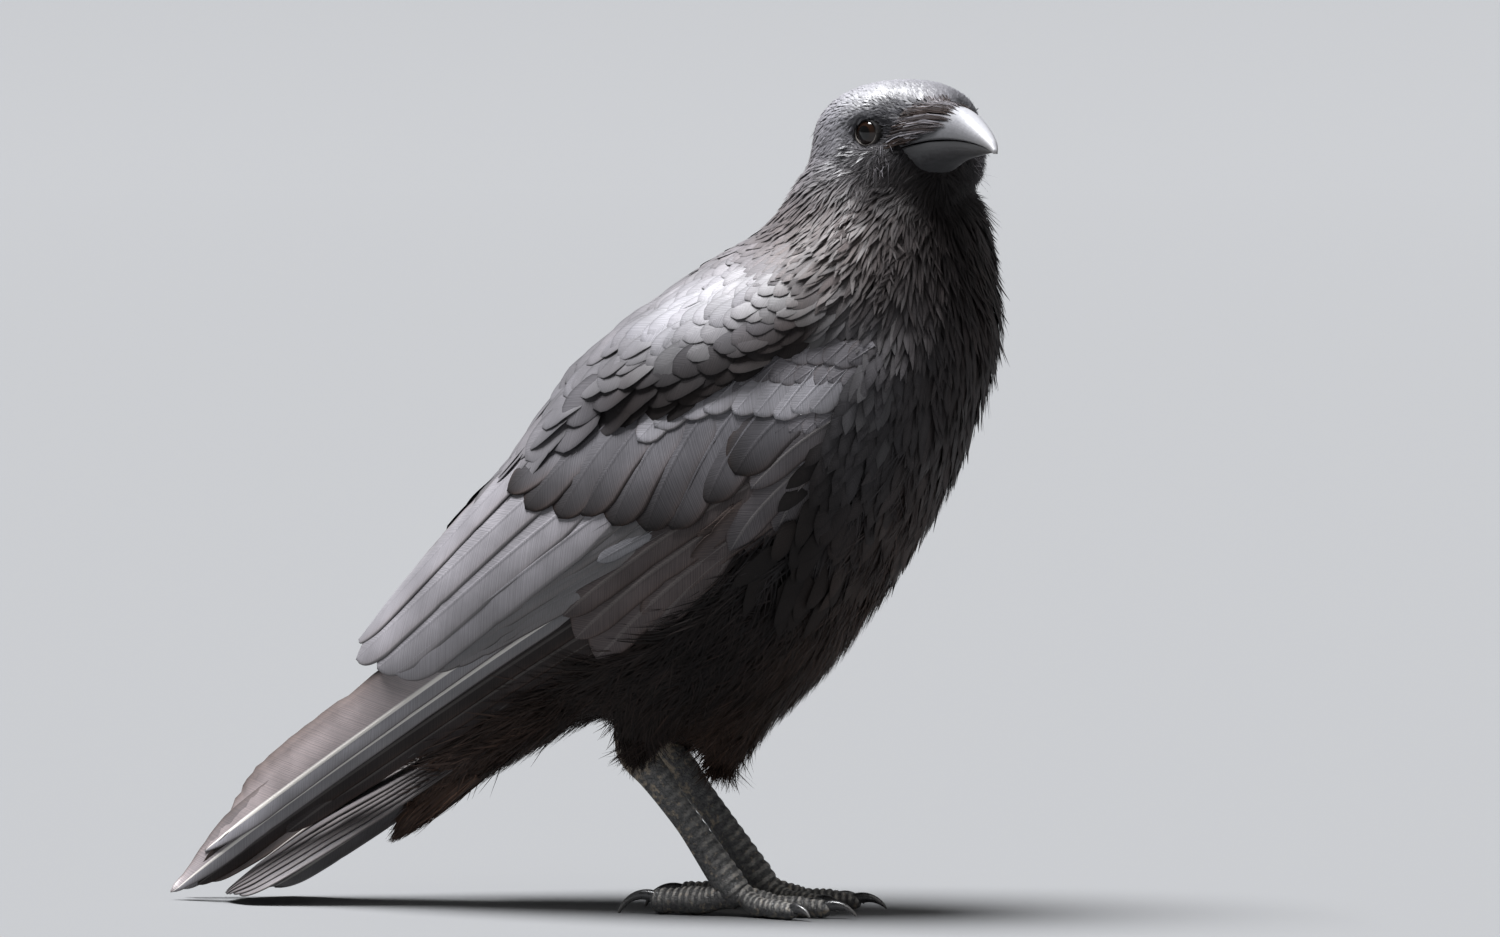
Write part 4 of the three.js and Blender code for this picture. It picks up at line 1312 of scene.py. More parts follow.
SMALL_GREY = dict(
    roots=[(-14, 139)], tips=[(-39, 126)], count=1, outer=3, inner=3, rise=(0.5, 1.6), tilt=0.2,
    end=8, pale=(0.48, 0.48), worn=0, worn_edge=0,
)
# Lesser coverts stand in rows. Each row: where its first and last tips lie, how many, and length.
LESSER_ROWS = [
    ((-2, 184), (44, 182), 9, 13),
    ((12, 190), (48, 188), 8, 12),
    ((26, 197), (50, 195), 6, 11),
    ((20, 170), (44, 175), 6, 12),
    ((28, 160), (38, 163), 3, 11),
]
LESSER_WAY = np.array([-0.78, -0.62])


def lesser_coverts(low, high, count, length):
    """One row of lesser coverts."""
    tips = np.array([low, high], float)
    return dict(
        roots=tips - LESSER_WAY * length, tips=tips, count=count, outer=4.7, inner=4.7,
        rise=(0.3, 1.2), tilt=0.12, end=6, pale=(0.75, 0.5), worn=0.08, loose=0.06,
    )


GLOSSY_LAYERS = (
    SECOND_PRIMARY, FIRST_PRIMARY, SECONDARIES, TERTIALS, SMALL_GREY, MEDIAN_COVERTS,
)
DULL_LAYERS = (
    PRIMARY_COVERTS, GREATER_COVERTS, ALULA, *[lesser_coverts(*row) for row in LESSER_ROWS],
)
WING_ROUNDS = 50      # rounds of evening for the wing's side
WING_OUT = unit(np.array([0, -1, 0.3]))
BED_DEPTH = 2.0       # the sheet under the wing feathers lies this much deeper than the CAD wing
BED_END = -95.0       # and is drawn in behind here, where the long feathers lie free
BED_LEFT = 0.2        # to this share of its length


def add_bed(side, material):
    """A dark sheet under the feathers of one wing, in place of its CAD nodes."""
    arm = "wing_" + side
    points, _, faces = remesh((arm,), voxel=2.0, smoothing=2)
    _, out = FORM.nearest(points)
    away = unit(np.array([0, points[:, 1].mean(), 12.0]))
    out = np.where(out @ away > 0, 1, -1)[:, None] * out
    points = points - out * BED_DEPTH
    points[:, 0] = np.maximum(points[:, 0], BED_END + (points[:, 0] - BED_END) * BED_LEFT)
    nodes = (arm, "primaries_" + side)
    add_under("wing_bed_" + side, points, faces, {}, material, nodes)


def add_wings(material, dull_material):
    """The feathers of both wings, laid over the right one's side and mirrored, and their beds."""
    points, normals, faces = remesh(("wing_right", "primaries_right"), voxel=1.2, smoothing=1)
    made = evened(points, normals, faces, np.ones(len(points)), WING_ROUNDS)
    surface = Surface(*facing(*made, WING_OUT))
    for name, layers, chosen in (
        ("primaries_{}_low", (OTHER_PRIMARIES,), dull_material),
        ("wing_feathers_{}", GLOSSY_LAYERS, material),
        ("wing_coverts_{}", DULL_LAYERS, dull_material),
    ):
        grids, atlas = Grids(), Atlas(sum(layer["count"] for layer in layers))
        for layer in layers:
            quills(grids, atlas, surface.from_side, surface.nearest, **layer)
        grids.build(name.format("right"), chosen, "flight_feather")
        grids.mirrored().build(name.format("left"), chosen, "flight_feather")
    for side in ("right", "left"):
        add_bed(side, dull_material)


RECTRICES = 6         # tail feathers on each side
PALE_SHAFTS = 4       # from this one outwards their shafts are paler
# Rows of the folded tail: x, z of the ridge, half width, drop of the edges below the ridge. It
# drops more than in the CAD, so that the tail is a roof that fills the space under the wing tips.
TAIL = np.array([
    (-56, 86, 15, 6), (-90, 69.5, 19, 12), (-125, 50, 22.5, 17.5), (-155, 33, 25, 18.5),
    (-178, 16.5, 26, 12), (-187, 9, 25, 6.4), (-192, 4.6, 19, 2.6), (-194, 3, 10, 1),
])
TAIL_GRID = (90, 31)


def tail_form():
    """The folded tail's upper side: points, normals and quads."""
    rows, columns = TAIL_GRID
    x, ridge, half, drop = rounded(TAIL, rows).T[:, :, None]
    u = np.linspace(-1, 1, columns)
    points = np.stack(np.broadcast_arrays(x, u * half, ridge - drop * np.abs(u) ** 1.5), -1)
    down = np.gradient(points, axis=0)
    across = np.gradient(points, axis=1)
    normals = unit(np.cross(across, down)).reshape(-1, 3)
    index = np.arange(rows * columns).reshape(rows, columns)
    quads = np.stack([index[:-1, :-1], index[:-1, 1:], index[1:, 1:], index[1:, :-1]], -1)
    return points.reshape(-1, 3), normals * np.sign(normals[:, 2:]), quads.reshape(-1, 4).tolist()


def add_tail(material):
    """The tail's feathers, from the outermost, which lies lowest, to the middle one on top."""
    surface = Surface(*tail_form())
    grids, atlas = Grids(), Atlas(RECTRICES)
    for k in range(RECTRICES - 1, -1, -1):
        aside = k / (RECTRICES - 1)
        quills(
            grids, atlas, surface.from_above, surface.nearest, count=1,
            roots=[(-62, -1 - 4 * aside)], tips=[(-193 + 9 * aside ** 2, -4 - 16 * aside)],
            outer=8.5 - 2.5 * aside, inner=10.5, rise=(-0.7 * k, -0.5 * k), tilt=0.35, end=11,
            blunt=2.2, pale=(0.15, 0.4), worn=0.1, worn_inside=0.15,
            shaft=0.4 + 0.45 * (k >= PALE_SHAFTS),
        )
    grids.build("tail_feathers_right", material, "flight_feather", ("tail",))
    grids.mirrored().build("tail_feathers_left", material, "flight_feather")


# ---------------------------------------------------------------- bill

# Rows along the bill in head places: x, top, bottom, half width.
UPPER_BILL = np.array([
    (3, 4, -7, 13.4), (8, 5.6, -6, 12.8), (15, 7.2, -4.9, 11.4), (25, 8.4, -4, 9.6),
    (34, 7.7, -3.8, 8), (43, 5, -4.2, 6.6), (50, 1.6, -5, 5.2), (56, -1.8, -6.3, 3.7),
    (60.5, -5, -7.9, 2.2), (63.2, -8.4, -9.9, 0.8),
])
LOWER_BILL = np.array([
    (3, -7.4, -15, 13.2), (8, -6.5, -15.6, 12.6), (16, -5.3, -14.8, 11), (26, -4.4, -12.5, 9.1),
    (36, -4.3, -11, 7.2), (45, -4.8, -10.3, 5.7), (52, -5.8, -9.9, 4.2), (57.5, -7.1, -9.5, 2.6),
    (60.4, -8.3, -9.5, 1),
])
BILL_ROWS = 110
BILL_SIDES = 64
TOMIUM = 0.7          # share of half a section from the ridge to the cutting edge


def rounded(rows, n):
    """n rows along a smooth curve through the rows given."""
    at = np.linspace(0, len(rows) - 1, n)
    k = np.clip(at.astype(int), 0, len(rows) - 2)
    t = (at - k)[:, None]
    padded = np.concatenate([[2 * rows[0] - rows[1]], rows, [2 * rows[-1] - rows[-2]]])
    a, b, c, d = (padded[k + m] for m in range(4))
    return 0.5 * (2 * b + (c - a) * t + (2 * a - 5 * b + 4 * c - d) * t ** 2
                  + (3 * b - a - 3 * c + d) * t ** 3)


def bill_half(rows, upper):
    """One mandible as a ring of places for each row, in head places."""
    x, top, bottom, half = rounded(rows, BILL_ROWS).T[:, :, None]
    t = (np.arange(BILL_SIDES) + 0.5) / BILL_SIDES
    down = 1 - np.abs(2 * t - 1)
    side = np.where(t < 0.5, 1, -1)
    if upper:
        q = np.clip(down / TOMIUM, 0, 1) * math.pi / 2
        under = np.clip((down - TOMIUM) / (1 - TOMIUM), 0, 1)
        y = half * np.sin(q) ** 0.88 * (1 - under)
        z = bottom + (top - bottom) * np.cos(q).clip(0) ** 0.93
        z = z + 0.12 * half * np.sin(under * math.pi / 2)
    else:
        q = np.clip((down - 1 + TOMIUM) / TOMIUM, 0, 1) * math.pi / 2
        inside = 1 - np.clip(down / (1 - TOMIUM), 0, 1)
        y = half * np.cos(q).clip(0) ** 0.72 * (1 - inside)
        z = top - (top - bottom) * np.sin(q) ** 1.25
        z = z - 0.1 * half * np.sin(inside * math.pi / 2)
    return from_head(np.stack(np.broadcast_arrays(x, side * y, z), -1))


def add_bill(material):
    down = np.linspace(0, 1, BILL_ROWS)[:, None] * np.ones(BILL_SIDES)
    ridge = 1 - np.abs(1 - 2 * (np.arange(BILL_SIDES) + 0.5) / BILL_SIDES)
    for name, rows, upper in (("upper", UPPER_BILL, True), ("lower", LOWER_BILL, False)):
        grids = Grids()
        # A painted highlight along the upper mandible's ridge, where the light from above shines.
        grids.add(
            bill_half(rows, upper)[None], plain_bake(BILL_ROWS, BILL_SIDES), ring=True,
            barb=(np.arange(BILL_SIDES) * 0.8 + down * 3)[None], worn=down[None] ** 4,
            pale=upper * np.exp(-((ridge / 0.55) ** 2))[None, None],
        )
        grids.build("bill_" + name + "_horn", material, "horn", ("bill_" + name,))


def plain_bake(rows, columns):
    """The whole of the bake's map for one closed tube."""
    u, v = np.meshgrid(np.linspace(0.02, 0.98, columns + 1), np.linspace(0.02, 0.98, rows))
    return np.stack([u, v], -1)[None]


HORN_TIP = (0.09, 0.085, 0.08)
RIDGE_PAINTED_HIGHLIGHT = (0.3, 0.3, 0.32)


def horn_material(name, colour, roughness):
    """Horn with fine growth lines, a duller, paler worn tip and a painted highlight along the ridge.
    """
    look = Look(name)
    lines = look.noise(0.9, 4.0, look.attribute("barb"))
    grain = look.noise(900, 3.0)
    pale = tuple(c * 2.2 + 0.02 for c in colour)
    mixed = look.mix(look.spread(grain, 0.35, 0.7, 0, 0.5), colour, pale)
    mixed = look.mix(look.attribute("worn"), mixed, HORN_TIP)
    mixed = look.mix(look.spread(look.attribute("pale"), 0, 1, 0, 0.7), mixed, RIDGE_PAINTED_HIGHLIGHT)
    look.bump(look.plus(look.times(lines, 0.6), grain), 0.25)
    rough = look.spread(grain, *NOISE, roughness - 0.06, roughness + 0.1)
    return look.surface(mixed, rough, 1.0)


# ---------------------------------------------------------------- eyes and lids

EYE_RADIUS = 6.2
CORNEA_RISE = 0.35    # how far the cornea stands out
CORNEA_WIDTH = 26.0   # half angles seen from the eyeball's middle, in degrees
PUPIL = 24.0
IRIS = 44.0
EYE_SIDES = 56
EYE_ANGLES = np.arange(EYE_SIDES) / EYE_SIDES * 2 * math.pi
BALL_ROWS = 60
# The lid's section: distance from the eye's axis, and height over the eyeball's middle.
LID = np.array([(4.25, 4.6), (4.38, 4.8), (4.6, 4.85), (5, 4.6), (5.4, 4), (5.9, 3), (6.4, 1.8)])
LID_ROWS = 26
LID_STRETCH = 0.05    # the opening is this much wider and lower than a circle
LID_CREASES = 14


def around(middle, out, radius, height, stretch=0.0):
    """Rings of places about an eye's axis, as rows by sides, wider than high by `stretch`."""
    across = unit(np.cross((0, 0, 1.0), out))
    ring = np.cos(EYE_ANGLES)[:, None] * across * (1 + stretch)
    ring = ring + np.sin(EYE_ANGLES)[:, None] * np.cross(out, across) * (1 - stretch)
    return middle + radius[:, None, None] * ring + height[:, None, None] * out


def add_eyeball(name, middle, out, material):
    """A ball with its cornea; `tone` is the angle from its axis as a share of 90 degrees."""
    angle = np.radians(np.linspace(1, 100, BALL_ROWS))
    cornea = CORNEA_RISE * np.exp(-(angle / math.radians(CORNEA_WIDTH)) ** 2)
    reach = EYE_RADIUS - 0.15 + cornea
    ball = around(middle, out, reach * np.sin(angle), reach * np.cos(angle))
    grids = Grids()
    grids.add(
        ball[None], plain_bake(BALL_ROWS, EYE_SIDES), ring=True,
        tone=np.degrees(angle)[None, :, None] / 90, barb=(np.arange(EYE_SIDES) * 2.0)[None, None],
    )
    grids.build("eyeball_" + name, material, "eye", ("eye_" + name,))


def add_lid(name, middle, out, material):
    """A creased bare rim round the eye; `worn` is its pale inner edge, from below the eye."""
    lid = rounded(LID, LID_ROWS)
    rings = around(middle, out, lid[:, 0], lid[:, 1], LID_STRETCH)
    creases = 0.05 * np.sin(EYE_ANGLES * LID_CREASES) + RNG.normal(0, 0.05, EYE_SIDES)
    rise = np.sin(np.linspace(0, 1, LID_ROWS) * math.pi)[:, None] * creases
    rings = rings + out * rise[..., None]
    low = np.clip(0.35 - np.sin(EYE_ANGLES), 0, 1)
    inner = np.linspace(1, 0, LID_ROWS)[:, None] ** 3 * low
    closed = np.concatenate([rings, rings[:, :1]], 1)
    worn = np.concatenate([inner, inner[:, :1]], 1)
    grids = Grids()
    grids.add(closed[None], plain_bake(LID_ROWS, EYE_SIDES), worn=worn[None])
    grids.build("lid_" + name, material, "horn")


def add_eyes(ball_material, lid_material):
    for name, opening in zip(("right", "left"), eye_openings()):
        add_eyeball(name, *opening, ball_material)
        add_lid(name, *opening, lid_material)


PUPIL_BLACK = (0.001, 0.001, 0.001)
IRIS_BROWNS = ((0.005, 0.0022, 0.0012), (0.016, 0.0075, 0.004))
EYE_RIM = (0.006, 0.005, 0.005)


def eye_material():
    """A black pupil in a dark brown iris, under a clear wet surface."""
    look = Look("eye")
    angle = look.times(look.attribute("tone"), 90.0)
    rays = look.noise(1.5, 3.0, look.attribute("barb"))
    brown = look.mix(rays, *IRIS_BROWNS)
    colour = look.mix(look.spread(angle, PUPIL - 1, PUPIL + 1), PUPIL_BLACK, brown)
    colour = look.mix(look.spread(angle, IRIS - 5, IRIS + 1), colour, EYE_RIM)
    return look.surface(colour, 0.03, 0.5)


LID_BLACKS = ((0.004, 0.004, 0.004), (0.014, 0.013, 0.013))
LID_EDGE = (0.3, 0.27, 0.25)


def lid_material():
    """Nearly black bare skin with a thin paler edge round the eye."""
    look = Look("lid")
    grain = look.noise(1500, 3.0)
    colour = look.mix(look.attribute("worn"), look.mix(grain, *LID_BLACKS), LID_EDGE)
    look.bump(grain, 0.4)
    return look.surface(colour, 0.6, 0.08)


# ---------------------------------------------------------------- bristles of the face

# Nasal bristles spring from under the crown's edge and lie forward on the upper mandible, in
# strands. Where they end: degrees round the bill from its ridge, and places ahead.
NASAL_BRISTLES = 1700
STRANDS = 46
STRANDS_ROUND = 86    # degrees from the ridge to the outermost strand
FRONT_TURN = (0, 45, 68, 80, 88)
FRONT_AHEAD = (36, 40, 37, 31, 20)
# How high they lie over the bill: places ahead, and heights.
HIGH_AHEAD = (4, 12, 22, 36)
# How much painted sheen each nasal strand has: a paler colour standing in for highlights.
HIGH = (3.2, 2.6, 1.3, 0.35)
STRAND_TONES = (0.0, 0.1, 0.55)
RICTAL_BRISTLES = 70
# They spring from the cheek between these places ahead and heights, this far to the side.
RICTAL_AHEAD = (-3, 11)
RICTAL_UP = (-14, -3)
RICTAL_ASIDE = 17.0


def hairs(grids, line, out, thick, worn, pale):
    """Adds a thin tapering ribbon along each line of places, facing `out`."""
    n, rows = line.shape[:2]
    u = np.linspace(0, 1, rows)[None, :, None]
    way = unit(line[:, -1] - line[:, 0])
    side = unit(np.cross(out, way) + RNG.normal(0, 0.3, (n, 3)))[:, None] * thick * (1.05 - u)
    grids.add(
        np.stack([line - side, line + side], 2), patches(line[:, 0], rows, 2),
        worn=worn * RNG.uniform(0.4, 1.2, n), pale=pale * RNG.uniform(0.5, 1.3, n),
        tone=RNG.random(n), barb=RNG.random(n) * 50,
    )


def over_bill(ahead, turn, high):
    """Head places `high` over the upper mandible, `turn` radians round from its ridge."""
    top, bottom, half = (np.interp(ahead, UPPER_BILL[:, 0], UPPER_BILL[:, k]) for k in (1, 2, 3))
    across = (half + high) * np.sin(turn)
    up = bottom + (top - bottom + high) * np.cos(turn).clip(0) ** 0.93
    return np.stack([ahead, across, up], -1)


def add_nasal_bristles(grids):
    n, u = NASAL_BRISTLES, np.linspace(0, 1, 9)[None]
    strand = RNG.integers(0, STRANDS, n)
    round_bill = np.linspace(-STRANDS_ROUND, STRANDS_ROUND, STRANDS)
    middle = np.radians(round_bill + RNG.normal(0, 1.2, STRANDS))[strand]
    turn = middle + RNG.normal(0, 0.05, n)
    edge = 10 + 6 * np.cos(turn) ** 2
    start = edge + RNG.uniform(-4, 8, n)
    reach = np.interp(np.degrees(np.abs(middle)), FRONT_TURN, FRONT_AHEAD)
    reach = reach + RNG.normal(0, 1.2, STRANDS)[strand] - RNG.uniform(0, 4, n) ** 1.2
    finish = np.maximum(reach, start + 3)
    ahead = start[:, None] + (finish - start)[:, None] * u
    bow = np.sin(math.pi * u)
    bent = turn[:, None] + (middle - turn)[:, None] * u + RNG.normal(0, 0.03, (n, 1)) * bow
    high = np.interp(ahead, HIGH_AHEAD, HIGH) * RNG.uniform(0.2, 1.1, (n, 1)) + 0.15 + 0.3 * bow
    line = from_head(over_bill(ahead, bent, high).reshape(-1, 3))
    skin, skin_out = FORM.nearest(line)
    short = ((skin - line) * skin_out).sum(1) + 0.1 + 0.4 * RNG.random(len(line))
    line = line + skin_out * short.clip(0, 4)[:, None]
    out = np.stack([0 * turn, np.sin(turn), np.cos(turn)], 1) @ HEAD_AXES
    pale = RNG.choice(STRAND_TONES, STRANDS)[strand] * RNG.uniform(0.6, 1.4, n)
    hairs(grids, line.reshape(n, -1, 3), out, 0.2, worn=0.15, pale=pale)


def add_rictal_bristles(grids, side):
    """Curved bristles round the gape and under the eye, made paler with painted sheen."""
    n, u = RICTAL_BRISTLES, np.linspace(0, 1, 7)[None, :, None]
    start = np.stack([
        RNG.uniform(*RICTAL_AHEAD, n), np.full(n, side * RICTAL_ASIDE), RNG.uniform(*RICTAL_UP, n),
    ], 1)
    start, out = FORM.nearest(from_head(start))
    way = np.stack([
        RNG.uniform(0.2, 1, n), side * RNG.uniform(0.1, 0.4, n), RNG.uniform(-1, 0, n),
    ], 1) @ HEAD_AXES
    run = unit(way) * RNG.uniform(4, 8, n)[:, None]
    sag = np.array([0, 0, -1.0]) * RNG.uniform(0.3, 1.6, (n, 1))
    line = start[:, None] + run[:, None] * u + sag[:, None] * u ** 2
    line = line + out[:, None] * RNG.uniform(0.4, 1.4, (n, 1, 1)) * np.sin(math.pi * u * 0.8)
    hairs(grids, line, out, 0.07, worn=0.1, pale=0.5)


def add_bristles(material):
    grids = Grids()
    add_nasal_bristles(grids)
    for side in (-1, 1):
        add_rictal_bristles(grids, side)
    grids.build("bristles", material, "body_feather")


VENT_BARBS = 900
VENT_TIP = np.array([-133.0, 0, 22.0])
# Their roots lie round a tube: x, z, half width and half height at its two ends.
VENT_FRONT = (-98, 49, 9, 3.5)
VENT_REAR = (-124, 34, 4, 2)


def add_vent_tuft(material):
    """The longest feathers under the tail: loose brown barbs that close to a ragged point."""
    n, u = VENT_BARBS, np.linspace(0, 1, 8)[None, :, None]
    back = RNG.uniform(0, 1, n)
    turn = RNG.uniform(0, 2 * math.pi, n)
    x, z, wide, high = (a + (b - a) * back for a, b in zip(VENT_FRONT, VENT_REAR))
    root = np.stack([x, wide * np.cos(turn), z + high * np.sin(turn)], 1)
    reach = RNG.uniform(0.45, 1.0, n) ** 0.6
    spread_out = RNG.normal(0, 1.0, (n, 3)) * (1.4, 1.8, 1.0) * (1.15 - reach[:, None])
    run = (VENT_TIP - root) * reach[:, None] + spread_out * 3
    out = unit(np.stack([0.3 * np.cos(turn), np.cos(turn), np.sin(turn)], 1))
    line = root[:, None] + run[:, None] * u
    line = line + out[:, None] * RNG.uniform(0.5, 2.0, (n, 1, 1)) * np.sin(math.pi * u)
    grids = Grids()
    hairs(grids, line, out, 0.42, worn=0.75, pale=0.05)
    grids.build("coat_vent", material, "body_feather")


# ---------------------------------------------------------------- legs, toes and claws

FOOT_SPREAD = 17.0    # the feet stand this far from the midplane
# Rows down the tarsus: x, z, radius fore and aft, radius across.
TARSUS = np.array([
    (-42.4, 64, 2.6, 2.4), (-38, 56.5, 5.4, 4), (-30.4, 49.3, 5.6, 3.7), (-24, 41, 4.8, 3),
    (-17, 32, 4.6, 2.9), (-10.8, 23.2, 5, 3.2), (-6, 16.2, 5.4, 4), (-2, 10.4, 5.6, 5.2),
    (1, 6.2, 4.4, 4.8), (2.5, 4.6, 2.0, 2.4),
])
# Each toe: heading in degrees, inwards positive; length, first and last radius, arch, pads;
# its claw's length, first rise and whole bend in degrees.
TOES = {
    "toe_middle": (-2, 35, 4.3, 3.2, 0.5, 3, 13, 25, 75),
    "toe_outer": (-27, 29, 3.9, 3.0, 0.4, 3, 10, 25, 75),
    "toe_inner": (22, 27, 3.9, 3.1, 0.4, 3, 12, 25, 75),
    "hallux": (178, 31, 4.9, 4.7, 0.6, 2, 19, 28, 104),
}
TOE_ROOT = 7.4        # height of the toes' axes where they leave the tarsus
TOE_SETTLE = 0.42     # the share of a toe's length over which it comes down to the floor
TARSUS_ROWS = 170
TOE_ROWS = 100
CLAW_ROWS = 44
CLAW_SUNK = 2.2       # how far a claw's root lies inside its toe
CLAW_LOWEST = 0.35    # least height of a claw's axis over the floor
LEG_SIDES = 36
LEG_ANGLES = (np.arange(LEG_SIDES) + 0.5) / LEG_SIDES * 2 * math.pi
SOLE = 0.02           # the flats lie this far over the floor


def tube(path, deep, wide, relief):
    """A ring of places round each place of a path that lies in one upright plane.

    The first side faces ahead or up. `relief` is how far each place stands out.
    """
    way = unit(np.gradient(path, axis=0))
    up = np.stack([-way[:, 2], 0 * way[:, 1], way[:, 0]], 1)
    lift = (deep[:, None] + relief) * np.cos(LEG_ANGLES)
    points = path[:, None] + up[:, None] * lift[..., None]
    points[..., 1] += (wide[:, None] + relief) * np.sin(LEG_ANGLES)
    points[..., 2] = np.maximum(points[..., 2], SOLE)
    return points


def scutes(run, period, front):
    """Plates that overlap down the front: how far they stand out, and their free edges."""
    step = (run[:, None] / period + 0.12 * np.cos(LEG_ANGLES * 2)) % 1
    edge = np.clip(np.cos(LEG_ANGLES) * 1.6 + 0.35, 0, 1)
    swollen = np.sin(math.pi * step ** 1.6) ** 0.7
    return swollen * front[:, None] * edge, (step > 0.45) * (step < 0.85) * edge


def leg_piece(points, worn, pale, run):
    """One tube of the right foot as grids of its own."""
    rows, sides, _ = points.shape
    grids = Grids()
    grids.add(
        (points - (0, FOOT_SPREAD, 0))[None], plain_bake(rows, sides), ring=True, worn=worn[None],
        pale=pale[None], barb=run[None, :, None], tone=(np.arange(sides) / sides)[None, None],
    )
    return grids


def bell(value, width):
    """1 at 0, and falling away on both sides."""
    return np.exp(-(value / width) ** 2)


def tarsus_points():
    """The tarsus with its scutes, its keel behind and a groove on each side of that."""
    rows = rounded(TARSUS, TARSUS_ROWS)
    path = np.stack([rows[:, 0], 0 * rows[:, 0], rows[:, 1]], 1)
    run = np.concatenate([[0], np.cumsum(np.linalg.norm(np.diff(path, axis=0), axis=1))])
    down = run / run[-1]
    plate, edge = scutes(run, 5.2 - 2.2 * down.mean(), 0.12 + 0.6 * down ** 2)
    from_back = np.abs(LEG_ANGLES - math.pi)
    behind = 0.35 * bell(from_back, 0.35) - 0.3 * bell(from_back - 0.95, 0.16)
    relief = plate + behind * np.sin(math.pi * down)[:, None]
    hock = bell(down - 0.1, 0.12)[:, None]
    worn = np.clip(0.75 * hock + 0.5 * (np.cos(LEG_ANGLES) < -0.2) * (1 - down)[:, None], 0, 1)
    pale = edge * (0.15 + 0.85 * down[:, None] ** 2)
    return tube(path, rows[:, 2], rows[:, 3], relief), worn, pale, run


def toe_points(heading, length, base, end, arch, pads):
    """A toe with plates on top and grainy pads below."""
    u = np.linspace(0, 1, TOE_ROWS)
    radius = base + (end - base) * u
    pad = np.cos(2 * math.pi * pads * u)
    settle = 1 - eased(ramp(u, 0, TOE_SETTLE))
    height = radius * 0.9 + (TOE_ROOT - radius * 0.9) * settle + arch * np.sin(math.pi * u)
    tip = np.sqrt(1 - np.maximum(0, u - 0.9) * 7)
    round_here = radius * (1 + 0.07 * pad) * tip
    path = np.stack([u * length, 0 * u, height], 1)
    plate, edge = scutes(u * length, 2.5, 0.6 * tip)
    under = np.clip(-np.cos(LEG_ANGLES), 0, 1)
    grain = 0.12 * np.sin(u * length * 5)[:, None] * np.sin(LEG_ANGLES * 9) * under
    points = tube(path, round_here - 0.35, round_here * 0.92 - 0.35, plate + grain)
    return turned_foot(points, heading), 0.25 * under * np.ones_like(plate), edge, u * length


def turned_foot(points, heading):
    a = math.radians(heading)
    turn = np.array([[math.cos(a), math.sin(a), 0], [-math.sin(a), math.cos(a), 0], [0, 0, 1]])
    return points @ turn


def claw_points(heading, length, end, arc, rise, bend):
    """A claw that tapers along an arc, flattened below and worn towards its tip."""
    u = np.linspace(0, 1, CLAW_ROWS)
    first, sweep = math.radians(rise), math.radians(bend)
    angle = first - sweep * u
    x = length - CLAW_SUNK + arc / sweep * (math.sin(first) - np.sin(angle))
    z = np.maximum(end * 1.15 + arc / sweep * (np.cos(angle) - math.cos(first)), CLAW_LOWEST)
    thin = 1 - u ** 1.4
    flat = -0.35 * np.clip(-np.cos(LEG_ANGLES), 0, 1) ** 2 * thin[:, None]
    points = tube(np.stack([x, 0 * x, z], 1), 0.3 + 2.0 * thin, 0.3 + 1.4 * thin, flat)
    worn = np.tile(u[:, None] ** 3, (1, LEG_SIDES))
    return turned_foot(points, heading), worn, 0 * worn, u * arc


def add_legs(scale, claw):
    """Both feet: the right one's pieces, and the same ones mirrored."""
    feet, claws = {"tarsus": leg_piece(*tarsus_points())}, {}
    for name, (heading, length, base, end, arch, pads, arc, rise, bend) in TOES.items():
        feet[name] = leg_piece(*toe_points(heading, length, base, end, arch, pads))
        claws[name] = leg_piece(*claw_points(heading, length, end, arc, rise, bend))
    for side, turn in (("right", lambda g: g), ("left", lambda g: g.mirrored())):
        for name, grids in feet.items():
            turn(grids).build(name + "_skin_" + side, scale, "leg_scale", (name + "_" + side,))
        for name, grids in claws.items():
            node = name + "_claw_" + side
            turn(grids).build(name + "_horn_" + side, claw, "claw", (node,))


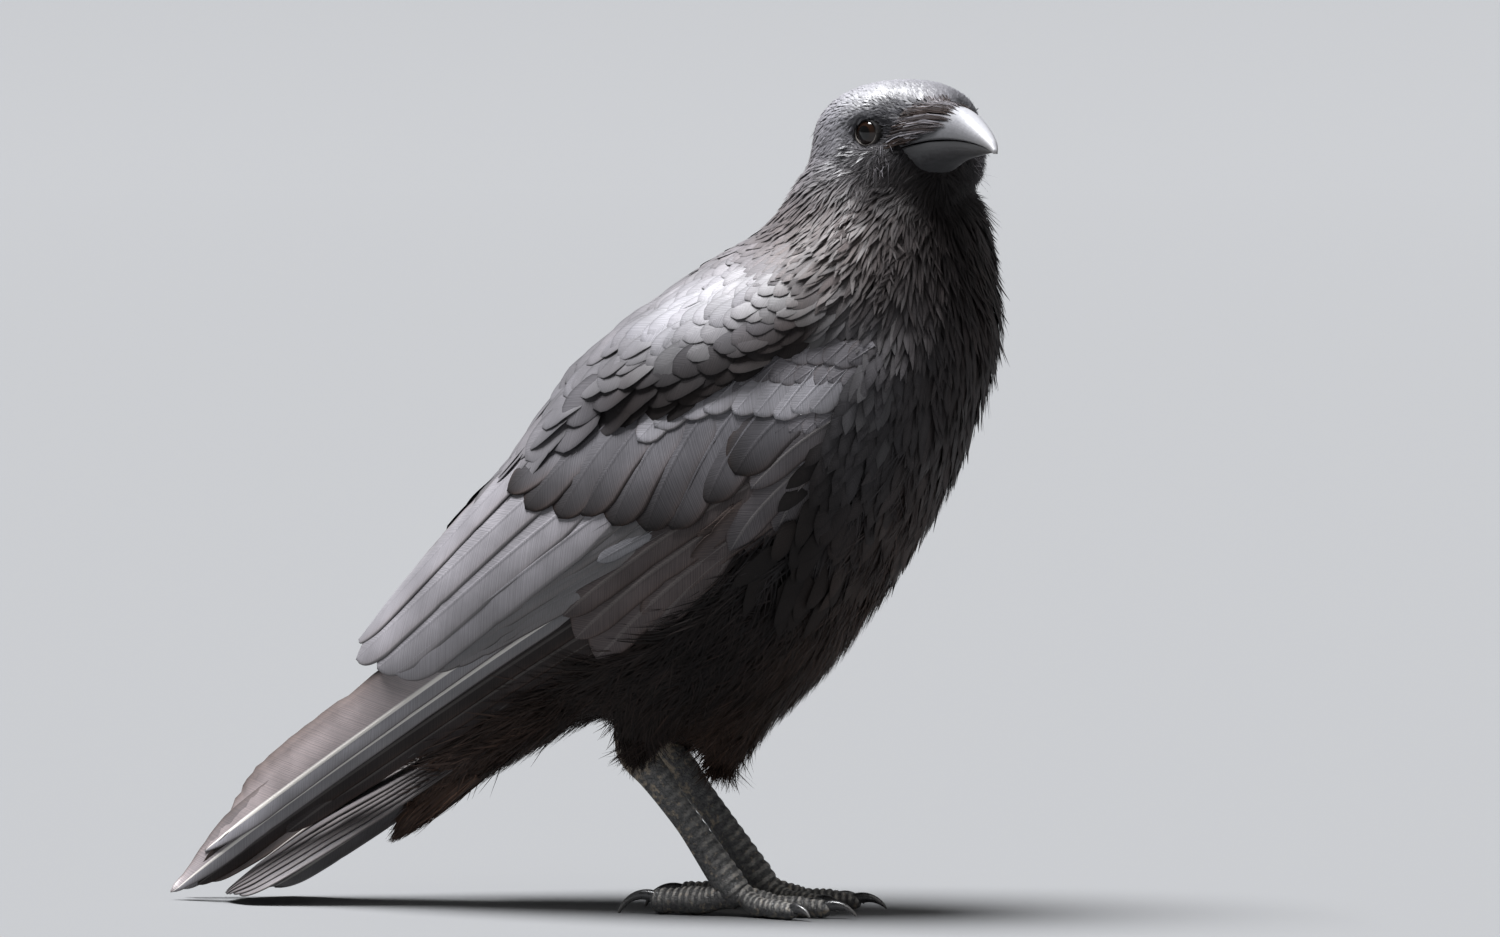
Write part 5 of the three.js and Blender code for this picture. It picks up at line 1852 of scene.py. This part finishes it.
SCALE_GREYS = ((0.035, 0.035, 0.037), (0.12, 0.118, 0.116))
SCALE_SEAM = (0.012, 0.012, 0.012)
SCALE_EDGE = (0.42, 0.4, 0.37)
SCALE_FLAKES = (0.36, 0.29, 0.21)


def leg_material():
    """Grey scales, dull and flaking to tan where worn, with pale free edges."""
    look = Look("leg_scales")
    grain = look.noise(900, 4.0)
    patch = look.noise(520, 5.0)
    cells = {"Scale": 800, "Vector": look.places()}
    gap = look.node("TexVoronoi", cells, "Distance", feature="DISTANCE_TO_EDGE")
    seam = look.spread(gap, 0, 0.12)
    colour = look.mix(look.spread(grain, *NOISE), *SCALE_GREYS)
    colour = look.mix(look.spread(seam, 0, 1, 0.45, 0), colour, SCALE_SEAM)
    edges = look.times(look.attribute("pale"), look.spread(patch, 0.35, 0.65, 0.2, 0.9))
    colour = look.mix(edges, colour, SCALE_EDGE)
    flakes = look.plus(look.attribute("worn"), look.spread(patch, 0.3, 0.75, -0.8, 0.6))
    colour = look.mix(look.spread(flakes, 0.1, 0.6, 0, 0.7), colour, SCALE_FLAKES)
    look.bump(look.plus(look.plus(grain, patch), seam), 0.5, 2 * FINE)
    return look.surface(colour, look.spread(grain, *NOISE, 0.35, 0.55), 0.5)


def write_sizes():
    """Works out the frame's size before and after the feathers, as plain lists of numbers."""
    boxes = {"cad": cad_box, "visual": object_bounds()}
    plain = {name: [[float(c) for c in corner] for corner in box] for name, box in boxes.items()}


coat_material = feather_material("coat", 0.5, 0.8)
neck_material = feather_material("coat_neck_feather", 0.58, 0.4)
dull_material = feather_material("coat_dull", 0.6, 0.15)
flight_material = feather_material("flight", 0.46, 0.9)
bill_horn = horn_material("bill_horn", (0.022, 0.022, 0.024), 0.42)
claw_horn = horn_material("claw_horn", (0.012, 0.012, 0.013), 0.28)
leg_scales = leg_material()
add_skin(dull_material)
add_coat(coat_material, neck_material, dull_material)
add_wings(flight_material, dull_material)
add_tail(flight_material)
add_bill(bill_horn)
add_eyes(eye_material(), lid_material())
add_bristles(dull_material)
add_vent_tuft(dull_material)
add_legs(leg_scales, claw_horn)
add_camera()
add_studio()
add_floor()
write_sizes()
